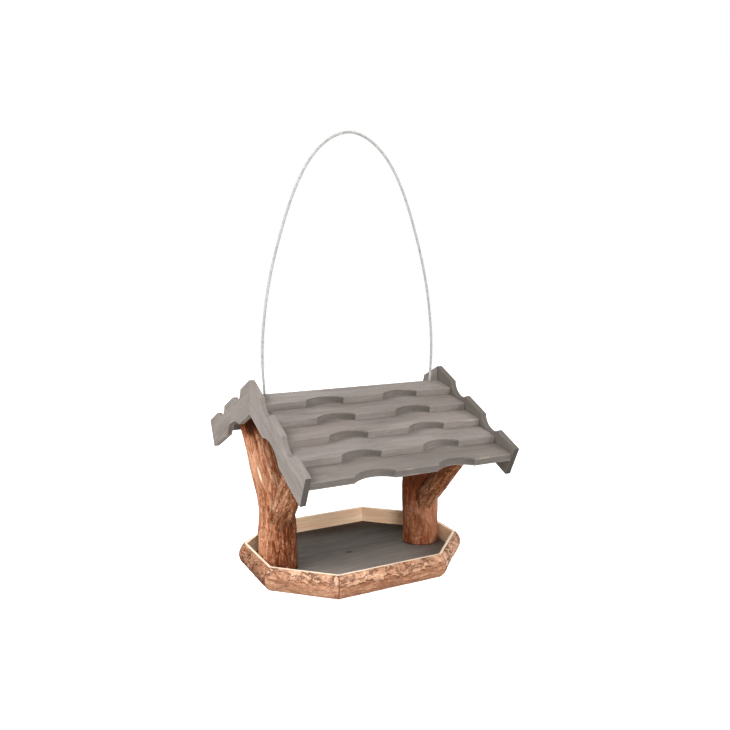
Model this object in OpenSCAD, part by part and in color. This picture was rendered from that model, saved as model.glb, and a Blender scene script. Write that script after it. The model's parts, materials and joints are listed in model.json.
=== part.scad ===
// Hanging bird feeder: a bark-rimmed tray, two forked log posts, a lapped board roof and a rope loop.
// Millimetres. X runs along the ridge, the front is -Y, and the origin is under the middle of the tray.

/* [Tray] */
// Length of the floor board between the end slabs of the rim
floor_l = 320; // [290:1:380]
// Width of the floor board between the long slabs of the rim
floor_w = 252; // [200:1:300]
// Length of each long side of the floor board
floor_side = 171; // [120:1:210]
// Length of each end of the floor board
floor_end = 106; // [70:1:130]
// Thickness of the floor board
floor_t = 10; // [8:0.5:16]
// Height of the rim
rim_h = 36; // [26:1:56]
// Thickness of a rim slab along its sawn edges
rim_edge = 4; // [3:0.5:8]
// How far the bark face of a rim slab bulges past its sawn edges
rim_bulge = 9; // [4:0.5:12]

/* [Posts] */
// Diameter of the two trunks
post_d = 59; // [50:1:70]
// Gap between a trunk and the end slab of the rim
post_inset = 1.5; // [0.5:0.5:20]
// Diameter of the leaning top of the left trunk
arm_d = 48; // [40:1:52]
// Lean of the left trunk's top towards the back, in degrees from upright
arm_lean = 39; // [30:1:44]
// Height where the left trunk starts to lean
arm_z = 103; // [90:1:120]
// Diameter of the left branch
left_branch_d = 36; // [28:1:44]
// Lean of the left branch towards the front, in degrees from upright
left_branch_lean = 37; // [30:1:46]
// Height where the left branch's axis meets the trunk's axis
left_branch_z = 73; // [60:1:90]
// Diameter of the right branch
right_branch_d = 32; // [26:1:42]
// Lean of the right branch towards the front, in degrees from upright
right_branch_lean = 44; // [34:1:48]
// Height where the right branch's axis meets the trunk's axis
right_branch_z = 68; // [58:1:84]
// Gap between a log and the log or board that it is fitted to
log_gap = 0.2; // [0.1:0.05:0.5]

/* [Roof] */
// Height of the ridge line above the ground
ridge_z = 283; // [260:1:330]
// Pitch of the roof in degrees
roof_pitch = 25.3; // [22:0.1:30]
// How far the roof boards run past the floor board at each end
roof_over = 1; // [0:0.5:30]
// Visible width of each roof board, measured down the slope
board_show = 43.8; // [40:0.2:48]
// Thickness of the roof boards
board_t = 11; // [8:0.5:13]
// How far a roof board runs up under the board above it
board_lap = 16; // [13:0.5:20]
// Length of each arc notch in the lower edge of a roof board
notch_w = 63; // [40:1:76]
// Depth of each arc notch
notch_depth = 11; // [6:0.5:12]
// Distance of each arc notch from the middle of the board
notch_x = 65; // [50:1:90]
// Thickness of the bargeboards
barge_t = 9; // [7:0.5:14]
// Width of the bargeboards
barge_w = 47; // [42:1:60]
// How far the bargeboards rise above the slope's base line
barge_rise = 20.7; // [16:0.1:24]
// Length of each scoop in a bargeboard's top edge
scoop_w = 44; // [30:1:50]
// Depth of each scoop in a bargeboard's top edge
scoop_depth = 12.5; // [6:0.5:14]
// Distance between the middles of the two top scoops
scoop_gap = 92; // [80:1:110]
// Length of the scoop in a bargeboard's lower edge
low_scoop_w = 68; // [40:1:80]
// Depth of the scoop in a bargeboard's lower edge
low_scoop_depth = 12; // [6:0.5:14]

/* [Rope] */
// Diameter of the rope
rope_d = 4; // [3:0.5:6]
// Distance of each rope hole from the bargeboard's inner face
rope_inset = 15; // [12:0.5:24]
// Gap between the rope and the wall of its hole
rope_fit = 0.3; // [0.2:0.05:0.6]
// Diameter of the stopper knots
knot_d = 11; // [9:0.5:13]

/* [Fasteners] */
// Diameter of the brads
brad_d = 1.8; // [1.4:0.1:2.4]
// Length of the brads
brad_l = 30; // [24:1:36]
// Diameter of the nails that hold the roof boards to the logs
nail_d = 2.2; // [1.8:0.1:2.8]
// Length of those nails
nail_l = 32; // [26:1:38]
// Diameter of the screws
screw_d = 4; // [3:0.5:5]
// Length of the screws up through the floor board
floor_screw_l = 50; // [35:1:70]
// Length of the screws that hold the branches
branch_screw_l = 58; // [45:1:66]
// Gap between a fastener and its hole
fastener_fit = 0.1; // [0.05:0.05:0.2]

/* [Hidden] */
$fn = 64;

stain = [0.53, 0.5, 0.48];
floor_stain = [0.4, 0.38, 0.36];
bark = [0.66, 0.42, 0.3];
rim_bark = [0.76, 0.57, 0.45];
rope_white = [0.86, 0.86, 0.84];
steel = [0.62, 0.62, 0.63];

front = 1;
back = 0;
rows = 5;
// Longer than anything in the model, for cutting shapes
far = 4 * ridge_z;

// Corners of the floor board, anticlockwise from the left end of its front side
floor_corners = [
    [-floor_side / 2, -floor_w / 2], [floor_side / 2, -floor_w / 2],
    [floor_l / 2, -floor_end / 2], [floor_l / 2, floor_end / 2],
    [floor_side / 2, floor_w / 2], [-floor_side / 2, floor_w / 2],
    [-floor_l / 2, floor_end / 2], [-floor_l / 2, -floor_end / 2]];
sides = len(floor_corners);
function corner(k) = floor_corners[(k + sides) % sides];
function unit(v) = v / norm(v);
function along(k) = unit(corner(k + 1) - corner(k));
function outward(k) = [along(k).y, -along(k).x];
function mitre(k) = (outward(k - 1) + outward(k)) / (1 + outward(k - 1) * outward(k));
function side_length(k) = norm(corner(k + 1) - corner(k));

// The bark face of a rim slab is part of a circle
rim_r = (pow(rim_h / 2, 2) + pow(rim_bulge, 2)) / (2 * rim_bulge);
rim_centre = rim_edge + rim_bulge - rim_r;
rim_spare = 1;
rim_reach = rim_edge + rim_bulge + rim_spare;
brad_z = floor_t / 2;
brad_inset = 20;
brad_sink = 0.8;
rim_brad_out = rim_centre + sqrt(pow(rim_r, 2) - pow(rim_h / 2 - brad_z, 2)) - brad_sink;
rim_brad_in = brad_l - rim_brad_out;

post_x = floor_l / 2 - post_inset - post_d / 2;
shoulder_drop = 8;
shoulder_z = arm_z - shoulder_drop;
shoulder_h = 28;
shoulder_d = 40;
arm_start = 4;

// The roof boards lie flatter than the slope, each on the one below it
board_tilt = asin(board_t / board_show);
board_pitch = roof_pitch - board_tilt;
board_down = [cos(board_pitch), -sin(board_pitch)];
board_up = -board_down;
board_normal = [sin(board_pitch), cos(board_pitch)];
// Distance from the ridge plane, and height, of the lower edge of each row
function row_edge(i) = [i * board_show * cos(roof_pitch), ridge_z - i * board_show * sin(roof_pitch)];
function board_head(i) = row_edge(i - 1) + board_lap * board_up;
ridge_under = [0, ridge_z - board_t / cos(board_pitch)];
gable_in = floor_l / 2 + roof_over;
gable_out = gable_in + barge_t;
slope_l = rows * board_show;
barge_mid = (slope_l - barge_rise * tan(roof_pitch)) / 2;
function arc_radius(w, h) = (pow(w / 2, 2) + pow(h, 2)) / (2 * h);

// Where the brads through the bargeboards enter the end of a board, off the middle of its width
brad_spread = 12;
function brad_place(i, k) = (row_edge(i - 1) + row_edge(i)) / 2 + k * brad_spread * board_down;

rope_x = gable_in - rope_inset;
rope_lift = 0.5;
hinge_z = ridge_z + rope_lift + rope_d / 2;
tail_gap = 0.6;
tail_top = hinge_z - rope_d / 2 - tail_gap;
knot_drop = 1.4;
knot_z = ridge_under.y - knot_drop - knot_d / 2;
tail_l = 8;
pocket_room = 2;
pocket_d = knot_d + pocket_room;
pocket_z = knot_z - knot_d / 2 - tail_l - pocket_room;

// Left half of the rope's route: distance from the middle, and height above the hinge line
rope_half = [[-146, 0], [-147, 14], [-148, 32], [-148.5, 52], [-148, 72], [-146.5, 92], [-144, 114],
    [-141, 136], [-137, 158], [-132, 181], [-125.5, 206], [-117.5, 233], [-108, 262], [-97, 291],
    [-84, 319], [-68, 345], [-48, 367], [-25, 382], [0, 388]];
rope_turn = len(rope_half) - 1;
rope_route = concat(rope_half, [for (i = [rope_turn - 1:-1:0]) [-rope_half[i].x, rope_half[i].y]]);
rope_steps = 2;
rope_sides = 8;

screw_head_d = 2 * screw_d;
screw_head_h = screw_d / 2;
screw_point = screw_d;
screw_tip_d = 1;
screw_sink = 0.5;
screw_slot = 0.9;
screw_inset = 15.5;
screw_spread = post_d / 2 - screw_inset;
branch_screw_sink = 4;
nail_head_d = 2 * nail_d;
nail_head_t = 0.8;
nail_sink = 0.2;
nail_spread = 8;
ridge_nail_down = 14;

// Stands a shape on side k of the floor board, with X along the side and -Y outward
module at_side(k) {
    translate([corner(k).x, corner(k).y, 0]) rotate([0, 0, atan2(along(k).y, along(k).x)]) children();
}

// Draws a flat shape of distance from the ridge plane and height, thick along X, on the back or front slope
module on_slope(slope, x, t) {
    mirror([0, slope, 0]) translate([x, 0, 0]) rotate([90, 0, 90]) linear_extrude(t) children();
}

// Mirrors a shape of the right half to the left half
module on_end(left) {
    mirror([left ? 1 : 0, 0, 0]) children();
}

module rim_profile() {
    mirror([1, 0]) intersection() {
        translate([rim_centre, rim_h / 2]) circle(rim_r);
        square([rim_edge + rim_bulge, rim_h]);
    }
}

module rim_slab(k) {
    length = side_length(k);
    outer = [corner(k + 1) + rim_reach * mitre(k + 1), corner(k) + rim_reach * mitre(k)];
    color(rim_bark) difference() {
        intersection() {
            at_side(k) translate([-rim_reach, 0, 0]) rotate([90, 0, 90])
                linear_extrude(length + 2 * rim_reach) rim_profile();
            linear_extrude(rim_h) polygon([corner(k), corner(k + 1), outer[0], outer[1]]);
        }
        rim_brad_holes(k);
    }
}

function rim_brad_places(k) = [brad_inset, side_length(k) - brad_inset];

module rim_brad_holes(k) {
    at_side(k) for (x = rim_brad_places(k))
        translate([x, -rim_reach, brad_z]) rotate([-90, 0, 0])
            cylinder(d = brad_d + 2 * fastener_fit, h = rim_reach + rim_brad_in + fastener_fit);
}

module rim_brads() {
    color(steel) for (k = [0:sides - 1]) at_side(k) for (x = rim_brad_places(k))
        translate([x, -rim_brad_out, brad_z]) rotate([-90, 0, 0]) cylinder(d = brad_d, h = brad_l);
}

module floor_board() {
    color(floor_stain) difference() {
        linear_extrude(floor_t) polygon(floor_corners);
        for (k = [0:sides - 1]) rim_brad_holes(k);
        floor_screw_holes();
    }
}

// A countersunk screw along +Z, with the face of its head at the origin
module screw(length) {
    difference() {
        union() {
            cylinder(d1 = screw_head_d, d2 = screw_d, h = screw_head_h);
            cylinder(d = screw_d, h = length - screw_point);
            translate([0, 0, length - screw_point])
                cylinder(d1 = screw_d, d2 = screw_tip_d, h = screw_point);
        }
        for (turn = [0, 90]) rotate([0, 0, turn])
            cube([screw_d, screw_slot, 2 * screw_slot], center = true);
    }
}

// The hole that a screw needs, open behind its head
module screw_hole(length) {
    grow = 2 * fastener_fit;
    translate([0, 0, -screw_head_d]) cylinder(d = screw_head_d + grow, h = screw_head_d);
    cylinder(d1 = screw_head_d + grow, d2 = screw_d + grow, h = screw_head_h);
    cylinder(d = screw_d + grow, h = length + fastener_fit);
}

module at_floor_screws() {
    for (x = [-post_x, post_x]) for (y = [-screw_spread, screw_spread])
        translate([x, y, screw_sink]) children();
}

module floor_screw_holes() {
    at_floor_screws() screw_hole(floor_screw_l);
}

module floor_screws() {
    color(steel) at_floor_screws() screw(floor_screw_l);
}

// Everything above the undersides of the roof boards
module roof_space() {
    steps = [for (i = [2:rows]) for (p = [0, 1]) board_head(i) - p * board_t * board_normal];
    eave = row_edge(rows) + far * board_down;
    half = concat([ridge_under], steps, [eave, [eave.x, far], [0, far]]);
    for (slope = [back, front])
        on_slope(slope, -far, 2 * far) translate([-log_gap, -log_gap]) polygon(half);
}

module leaning_log(x, z, lean, d, start) {
    translate([x, 0, z]) rotate([lean, 0, 0]) translate([0, 0, -start]) cylinder(d = d, h = far);
}

module left_log(gap) {
    translate([-post_x, 0, floor_t]) cylinder(d = post_d + 2 * gap, h = shoulder_z - floor_t);
    translate([-post_x, 0, shoulder_z])
        cylinder(d1 = post_d + 2 * gap, d2 = shoulder_d + 2 * gap, h = shoulder_h);
    leaning_log(-post_x, arm_z, -arm_lean, arm_d + 2 * gap, arm_start);
}

module right_log(gap) {
    translate([post_x, 0, floor_t]) cylinder(d = post_d + 2 * gap, h = ridge_z);
}

module trunk_left() {
    color(bark) difference() {
        left_log(0);
        roof_space();
        floor_screw_holes();
        branch_screw_holes();
        roof_nail_holes();
    }
}

module trunk_right() {
    color(bark) difference() {
        right_log(0);
        roof_space();
        translate([rope_x, 0, pocket_z]) cylinder(d = pocket_d, h = ridge_z);
        floor_screw_holes();
        branch_screw_holes();
        roof_nail_holes();
    }
}

module branch_left() {
    color(bark) difference() {
        leaning_log(-post_x, left_branch_z, left_branch_lean, left_branch_d, 0);
        left_log(log_gap);
        roof_space();
        branch_screw_holes();
        roof_nail_holes();
    }
}

module branch_right() {
    color(bark) difference() {
        leaning_log(post_x, right_branch_z, right_branch_lean, right_branch_d, 0);
        right_log(log_gap);
        roof_space();
        branch_screw_holes();
        roof_nail_holes();
    }
}

// Places a shape at the screw of one branch, square to the trunk and sunk into the branch
module at_branch_screw(x, z, lean, d) {
    y = post_d / 2 + d / 2 / cos(lean) - branch_screw_sink;
    translate([x, -y, z + post_d / 2 / tan(lean)]) rotate([-90, 0, 0]) children();
}

module at_branch_screws() {
    at_branch_screw(-post_x, left_branch_z, left_branch_lean, left_branch_d) children();
    at_branch_screw(post_x, right_branch_z, right_branch_lean, right_branch_d) children();
}

module branch_screw_holes() {
    at_branch_screws() screw_hole(branch_screw_l);
}

module branch_screws() {
    color(steel) at_branch_screws() screw(branch_screw_l);
}

// Distance from the ridge plane where a leaning log's axis meets the slope
function log_top(z, lean) = (ridge_z - z) * tan(lean) / (1 + tan(lean) * tan(roof_pitch));
// The place on a roof board's top face at a distance from the ridge plane
function roof_top(y) = let (upper = row_edge(floor(y / row_edge(1).x)))
    upper + (y - upper.x) / board_down.x * board_down;

// Places a shape at a nail that enters a board's top face square to it
module at_nail(slope, x, place) {
    head = place - nail_sink * board_normal;
    mirror([0, slope, 0]) translate([x, head.x, head.y]) rotate([180 - board_pitch, 0, 0]) children();
}

// Nails through the top boards into the right trunk, and through the boards over each leaning log
module at_roof_nails() {
    for (slope = [back, front]) at_nail(slope, post_x - nail_spread, roof_top(ridge_nail_down)) children();
    for (x = [-nail_spread, nail_spread]) {
        at_nail(back, x - post_x, roof_top(log_top(arm_z, arm_lean))) children();
        at_nail(front, x - post_x, roof_top(log_top(left_branch_z, left_branch_lean))) children();
        at_nail(front, x + post_x, roof_top(log_top(right_branch_z, right_branch_lean))) children();
    }
}

module roof_nail_holes() {
    at_roof_nails() {
        cylinder(d = nail_head_d + 2 * fastener_fit, h = nail_head_t);
        translate([0, 0, -nail_head_d]) cylinder(d = nail_head_d + 2 * fastener_fit, h = nail_head_d);
        cylinder(d = nail_d + 2 * fastener_fit, h = nail_l + fastener_fit);
    }
}

module roof_nails() {
    color(steel) at_roof_nails() {
        cylinder(d = nail_head_d, h = nail_head_t);
        cylinder(d = nail_d, h = nail_l);
    }
}

module board_section(i) {
    lower = row_edge(i);
    edge = [lower, lower + board_t * board_normal];
    head = board_head(i);
    upper = i == 1 ? [row_edge(0), ridge_under] : [head, head - board_t * board_normal];
    polygon(concat(edge, upper));
}

// Cuts the two arc notches square through the lower edge of a board
module board_notches(slope, i) {
    radius = arc_radius(notch_w, notch_depth);
    middle = row_edge(i) + (radius - notch_depth) * board_down;
    mirror([0, slope, 0]) for (x = [-notch_x, notch_x])
        translate([x, middle.x, middle.y]) rotate([-board_pitch, 0, 0])
            cylinder(r = radius, h = far, center = true);
}

module roof_board(slope, i) {
    color(stain) difference() {
        on_slope(slope, -gable_in, 2 * gable_in) board_section(i);
        board_notches(slope, i);
        gable_brad_holes(slope);
        if (i == 1) rope_holes();
        roof_nail_holes();
    }
}

module rope_holes() {
    for (x = [-rope_x, rope_x]) translate([x, 0, 0]) cylinder(d = rope_d + 2 * rope_fit, h = 2 * ridge_z);
}

module at_gable_brads(slope, sink) {
    for (left = [false, true]) on_end(left) mirror([0, slope, 0])
        for (i = [1:rows]) for (k = [-1, 1])
            translate([gable_out - sink, brad_place(i, k).x, brad_place(i, k).y])
                rotate([0, -90, 0]) children();
}

module gable_brad_holes(slope) {
    at_gable_brads(slope, -brad_sink)
        cylinder(d = brad_d + 2 * fastener_fit, h = brad_l + 2 * brad_sink + fastener_fit);
}

module gable_brads() {
    color(steel) for (slope = [back, front])
        at_gable_brads(slope, brad_sink) cylinder(d = brad_d, h = brad_l);
}

// A bargeboard lies along the slope, mitred upright at the ridge plane
module barge_outline() {
    top_r = arc_radius(scoop_w, scoop_depth);
    low_r = arc_radius(low_scoop_w, low_scoop_depth);
    intersection() {
        translate([0, -far]) square([far, 2 * far]);
        translate([0, ridge_z]) rotate(-roof_pitch) difference() {
            translate([-barge_w, barge_rise - barge_w]) square([barge_w + slope_l, barge_w]);
            for (k = [-1, 1])
                translate([barge_mid + k * scoop_gap / 2, barge_rise + top_r - scoop_depth]) circle(top_r);
            translate([barge_mid, barge_rise - barge_w - low_r + low_scoop_depth]) circle(low_r);
        }
    }
}

module bargeboard(left, slope) {
    color(stain) difference() {
        on_end(left) on_slope(slope, gable_in, barge_t) barge_outline();
        gable_brad_holes(slope);
    }
}

// A smooth curve through the route's points
function curve_point(a, b, c, d, t) =
    b + t / 2 * (c - a) + t * t * (a - 2.5 * b + 2 * c - d / 2) + t * t * t * (1.5 * (b - c) + (d - a) / 2);
function route(i) = rope_route[max(0, min(len(rope_route) - 1, i))];
rope_curve = concat(
    [for (i = [0:len(rope_route) - 2]) for (s = [0:rope_steps - 1])
        curve_point(route(i - 1), route(i), route(i + 1), route(i + 2), s / rope_steps)],
    [route(len(rope_route) - 1)]);
rope_last = len(rope_curve) - 1;
function heading(i) = unit(rope_curve[min(i + 1, rope_last)] - rope_curve[max(i - 1, 0)]);

// One ring of the rope: its middle, its heading and its radius
function rope_ring(middle, way, r) = [for (k = [0:rope_sides - 1]) let (a = 360 * k / rope_sides)
    [middle.x - way.y * r * cos(a), r * sin(a), hinge_z + middle.y + way.x * r * cos(a)]];
// Rings that round off an end of the rope, from its tip inward
rope_tip = [80, 60, 30];
function tip_ring(i, angle, out) = rope_ring(
    rope_curve[i] + out * rope_d / 2 * sin(angle) * heading(i), heading(i), rope_d / 2 * cos(angle));
rope_rings = concat(
    [for (a = rope_tip) tip_ring(0, a, -1)],
    [for (i = [0:rope_last]) rope_ring(rope_curve[i], heading(i), rope_d / 2)],
    [for (k = [len(rope_tip) - 1:-1:0]) tip_ring(rope_last, rope_tip[k], 1)]);

module hanging_rope() {
    count = len(rope_rings);
    points = [for (ring = rope_rings) for (p = ring) p];
    first = [for (k = [0:rope_sides - 1]) k];
    last = [for (k = [rope_sides - 1:-1:0]) (count - 1) * rope_sides + k];
    walls = [for (i = [0:count - 2]) for (k = [0:rope_sides - 1]) let (n = (k + 1) % rope_sides)
        for (half = [0, 1]) half == 0
            ? [i * rope_sides + k, (i + 1) * rope_sides + k, (i + 1) * rope_sides + n]
            : [i * rope_sides + k, (i + 1) * rope_sides + n, i * rope_sides + n]];
    color(rope_white) polyhedron(points, concat([first], walls, [last]));
}

module rope_end(left) {
    color(rope_white) on_end(left) translate([rope_x, 0, 0]) {
        translate([0, 0, knot_z - knot_d / 2 - tail_l])
            cylinder(d = rope_d, h = tail_top - knot_z + knot_d / 2 + tail_l);
        translate([0, 0, knot_z]) sphere(d = knot_d);
    }
}

module rim_front() { rim_slab(0); }
module rim_front_right() { rim_slab(1); }
module rim_right() { rim_slab(2); }
module rim_back_right() { rim_slab(3); }
module rim_back() { rim_slab(4); }
module rim_back_left() { rim_slab(5); }
module rim_left() { rim_slab(6); }
module rim_front_left() { rim_slab(7); }
module front_board_1() { roof_board(front, 1); }
module front_board_2() { roof_board(front, 2); }
module front_board_3() { roof_board(front, 3); }
module front_board_4() { roof_board(front, 4); }
module front_board_5() { roof_board(front, 5); }
module back_board_1() { roof_board(back, 1); }
module back_board_2() { roof_board(back, 2); }
module back_board_3() { roof_board(back, 3); }
module back_board_4() { roof_board(back, 4); }
module back_board_5() { roof_board(back, 5); }
module bargeboard_left_front() { bargeboard(true, front); }
module bargeboard_left_back() { bargeboard(true, back); }
module bargeboard_right_front() { bargeboard(false, front); }
module bargeboard_right_back() { bargeboard(false, back); }
module rope_end_left() { rope_end(true); }
module rope_end_right() { rope_end(false); }

floor_board();
rim_front();
rim_front_right();
rim_right();
rim_back_right();
rim_back();
rim_back_left();
rim_left();
rim_front_left();
trunk_left();
trunk_right();
branch_left();
branch_right();
front_board_1();
front_board_2();
front_board_3();
front_board_4();
front_board_5();
back_board_1();
back_board_2();
back_board_3();
back_board_4();
back_board_5();
bargeboard_left_front();
bargeboard_left_back();
bargeboard_right_front();
bargeboard_right_back();
hanging_rope();
rope_end_left();
rope_end_right();
floor_screws();
branch_screws();
rim_brads();
gable_brads();
roof_nails();
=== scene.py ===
import json
import math

import bmesh
import bpy
import numpy as np
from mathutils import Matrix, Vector, noise


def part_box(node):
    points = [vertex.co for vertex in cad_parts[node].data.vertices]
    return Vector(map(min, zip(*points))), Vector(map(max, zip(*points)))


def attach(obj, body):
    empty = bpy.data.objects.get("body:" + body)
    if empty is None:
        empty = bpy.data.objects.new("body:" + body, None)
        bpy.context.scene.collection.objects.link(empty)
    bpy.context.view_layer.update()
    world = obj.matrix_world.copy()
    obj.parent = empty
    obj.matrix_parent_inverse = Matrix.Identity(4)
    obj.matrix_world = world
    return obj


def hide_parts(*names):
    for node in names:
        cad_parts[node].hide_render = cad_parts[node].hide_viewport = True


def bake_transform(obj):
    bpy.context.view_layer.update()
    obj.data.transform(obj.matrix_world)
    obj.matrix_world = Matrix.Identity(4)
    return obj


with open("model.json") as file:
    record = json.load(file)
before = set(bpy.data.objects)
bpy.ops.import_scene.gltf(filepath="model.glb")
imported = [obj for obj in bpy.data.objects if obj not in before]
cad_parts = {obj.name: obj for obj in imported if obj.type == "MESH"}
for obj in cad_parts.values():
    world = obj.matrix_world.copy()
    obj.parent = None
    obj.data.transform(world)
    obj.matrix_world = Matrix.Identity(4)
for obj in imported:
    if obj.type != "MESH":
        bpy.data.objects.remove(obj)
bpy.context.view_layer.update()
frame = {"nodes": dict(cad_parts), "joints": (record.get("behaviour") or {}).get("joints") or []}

# Hanging bird feeder: the looks of its rope, logs, bark rim, stained boards and floor, in metres
MM = 0.001


def node_box(name):
    """Lowest and highest corner of a CAD node."""
    low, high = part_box(name)
    return np.array(low), np.array(high)


# Sizes that the frame gives
floor_corner = node_box("floor_board")[1]
board_corner = node_box("front_board_1")[1]
trunk_low, trunk_high = node_box("trunk_right")
FLOOR_X = floor_corner[0]
FLOOR_Y = floor_corner[1]
FLOOR_TOP = floor_corner[2]
GABLE_IN = board_corner[0]
RIDGE_Z = board_corner[2]
POST_X = (trunk_low[0] + trunk_high[0]) / 2
POST_R = (trunk_high[0] - trunk_low[0]) / 2
RIM_H = node_box("rim_front")[1][2]
BARGE_T = node_box("bargeboard_right_front")[1][0] - GABLE_IN
HINGE_Z = frame["joints"][0]["pos_m"][2]

# Camera at the photograph's viewing angle: degrees round from the front, degrees up, and metres away
CAMERA_AZIMUTH = -27.87
CAMERA_ELEVATION = 7.57
CAMERA_DISTANCE = 1.2065
CAMERA_TARGET = Vector((0.0238, 0.0, 0.3162))
SENSOR = 36.0
FOCAL_PIXELS = 758.0
FRAME_PIXELS = 730.0


def way_to(azimuth, elevation):
    """The way from the feeder to a place, by degrees round from the front and degrees up."""
    turn = math.radians(azimuth)
    climb = math.radians(elevation)
    return Vector((math.sin(turn) * math.cos(climb), -math.cos(turn) * math.cos(climb), math.sin(climb)))


def aim(thing, target, way, distance):
    """Puts a camera or a lamp at a distance from its target, turned to it."""
    thing.location = target + way * distance
    thing.rotation_mode = "QUATERNION"
    thing.rotation_quaternion = way.to_track_quat("Z", "Y")
    bpy.context.scene.collection.objects.link(thing)


def make_camera():
    data = bpy.data.cameras.new("camera")
    data.sensor_width = SENSOR
    data.lens = SENSOR * FOCAL_PIXELS / FRAME_PIXELS
    camera = bpy.data.objects.new("camera", data)
    aim(camera, CAMERA_TARGET, way_to(CAMERA_AZIMUTH, CAMERA_ELEVATION), CAMERA_DISTANCE)
    bpy.context.scene.camera = camera


make_camera()


# Mesh helpers
def grid_faces(rows, columns):
    """Quads between the points of a grid, with its last column joined to the first."""
    faces = []
    for r in range(rows - 1):
        for c in range(columns):
            n = (c + 1) % columns
            faces.append((r * columns + c, r * columns + n, (r + 1) * columns + n, (r + 1) * columns + c))
    return faces


def capped_tube(rows, columns):
    """Quads of a closed tube of rings, with a face over each end."""
    faces = grid_faces(rows, columns)
    faces.append(tuple(reversed(range(columns))))
    faces.append(tuple(range((rows - 1) * columns, rows * columns)))
    return faces


def new_piece(name, points, faces, materials, sharp):
    """A mesh piece with outward faces, smooth below the sharp angle in degrees."""
    mesh = bpy.data.meshes.new(name)
    mesh.from_pydata(np.asarray(points).reshape(-1, 3).tolist(), [], faces)
    shape = bmesh.new()
    shape.from_mesh(mesh)
    bmesh.ops.recalc_face_normals(shape, faces=shape.faces)
    shape.to_mesh(mesh)
    shape.free()
    mesh.polygons.foreach_set("use_smooth", [True] * len(mesh.polygons))
    mesh.set_sharp_from_angle(angle=math.radians(sharp))
    for material in materials:
        mesh.materials.append(material)
    piece = bpy.data.objects.new(name, mesh)
    bpy.context.scene.collection.objects.link(piece)
    return piece


def give(piece, name, values):
    """Stores one number for each point of a piece."""
    stored = piece.data.attributes.new(name, "FLOAT", "POINT")
    stored.data.foreach_set("value", np.asarray(values, np.float32).ravel())


def give_grain(piece, places):
    """Stores each point's place in the wood: along the grain, across it and through it."""
    stored = piece.data.attributes.new("grain", "FLOAT_VECTOR", "POINT")
    stored.data.foreach_set("vector", np.asarray(places, np.float32).ravel())


def settle(piece, slot, *nodes):
    """Puts a piece in place of CAD nodes of the feeder's fixed body."""
    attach(piece, "feeder")
    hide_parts(*nodes)


# Shader helpers
# Sockets of a Mix node that blends colours
MIX_SHARE = 0
MIX_FIRST = 6
MIX_SECOND = 7
MIX_RESULT = 2


class Value:
    """An output of a shader node, with plain arithmetic for numbers."""

    def __init__(self, socket):
        self.socket = socket
        self.tree = socket.id_data

    def __add__(self, other):
        return calc(self.tree, "ADD", self, other)

    def __sub__(self, other):
        return calc(self.tree, "SUBTRACT", self, other)

    def __rsub__(self, other):
        return calc(self.tree, "SUBTRACT", other, self)

    def __mul__(self, other):
        return calc(self.tree, "MULTIPLY", self, other)


def srgb(red, green, blue):
    """A colour as a screen shows it, from 0 to 255, as linear values."""
    parts = [v / 255 for v in (red, green, blue)]
    linear = [v / 12.92 if v <= 0.04045 else ((v + 0.055) / 1.055) ** 2.4 for v in parts]
    return (*linear, 1.0)


def new_node(tree, kind, inputs=None, **settings):
    """A shader node with its settings, and values or links for its inputs."""
    made = tree.nodes.new("ShaderNode" + kind)
    for key, value in settings.items():
        setattr(made, key, value)
    for key, value in (inputs or {}).items():
        if isinstance(value, Value):
            tree.links.new(value.socket, made.inputs[key])
        else:
            made.inputs[key].default_value = value
    return made


def add(tree, kind, inputs=None, output=0, **settings):
    """One output of a new shader node."""
    return Value(new_node(tree, kind, inputs, **settings).outputs[output])


def outputs(node):
    """All outputs of a node, by name."""
    return {socket.name: Value(socket) for socket in node.outputs}


def wire(sockets, **values):
    """Links values to named sockets; an underscore stands for a space in a name."""
    for key, value in values.items():
        value.tree.links.new(value.socket, sockets[key.replace("_", " ")])


def attribute(tree, name, output="Fac"):
    return add(tree, "Attribute", output=output, attribute_name=name)


def calc(tree, operation, first, second=0.0):
    return add(tree, "Math", {0: first, 1: second}, operation=operation)


def larger(first, second):
    return calc(first.tree, "MAXIMUM", first, second)


def limits(value, low, high, to_low=0.0, to_high=1.0):
    """Spreads the values from low to high over another range, with soft ends."""
    sockets = {"Value": value, "From Min": low, "From Max": high, "To Min": to_low, "To Max": to_high}
    return add(value.tree, "MapRange", sockets, "Result", interpolation_type="SMOOTHSTEP")


def fading(value, low, high):
    """1 up to the low value, and less from there to 0 at the high value."""
    return limits(value, low, high, to_low=1.0, to_high=0.0)


def mix(share, first, second):
    """A colour, with a share of a second one over it."""
    sockets = {MIX_SHARE: share, MIX_FIRST: first, MIX_SECOND: second}
    return add(share.tree, "Mix", sockets, MIX_RESULT, data_type="RGBA")


def vector_calc(operation, first, second):
    return add(first.tree, "VectorMath", {0: first, 1: second}, operation=operation)


def stretch(vector, scale):
    return vector_calc("MULTIPLY", vector, scale)


def speckle(vector, scale=1.0, detail=3.0, distortion=0.0):
    sockets = {"Vector": vector, "Scale": scale, "Detail": detail, "Distortion": distortion}
    return add(vector.tree, "TexNoise", sockets, "Fac")


def ramp(value, stops):
    """Colours at places from 0 to 1, blended between them."""
    made = new_node(value.tree, "ValToRGB", {"Fac": value})
    elements = made.color_ramp.elements
    elements[0].position, elements[0].color = stops[0]
    elements[1].position, elements[1].color = stops[-1]
    for place, colour in stops[1:-1]:
        elements.new(place).color = colour
    return Value(made.outputs["Color"])


def bump(height, distance, strength):
    return add(height.tree, "Bump", {"Height": height, "Distance": distance, "Strength": strength}, "Normal")


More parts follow.
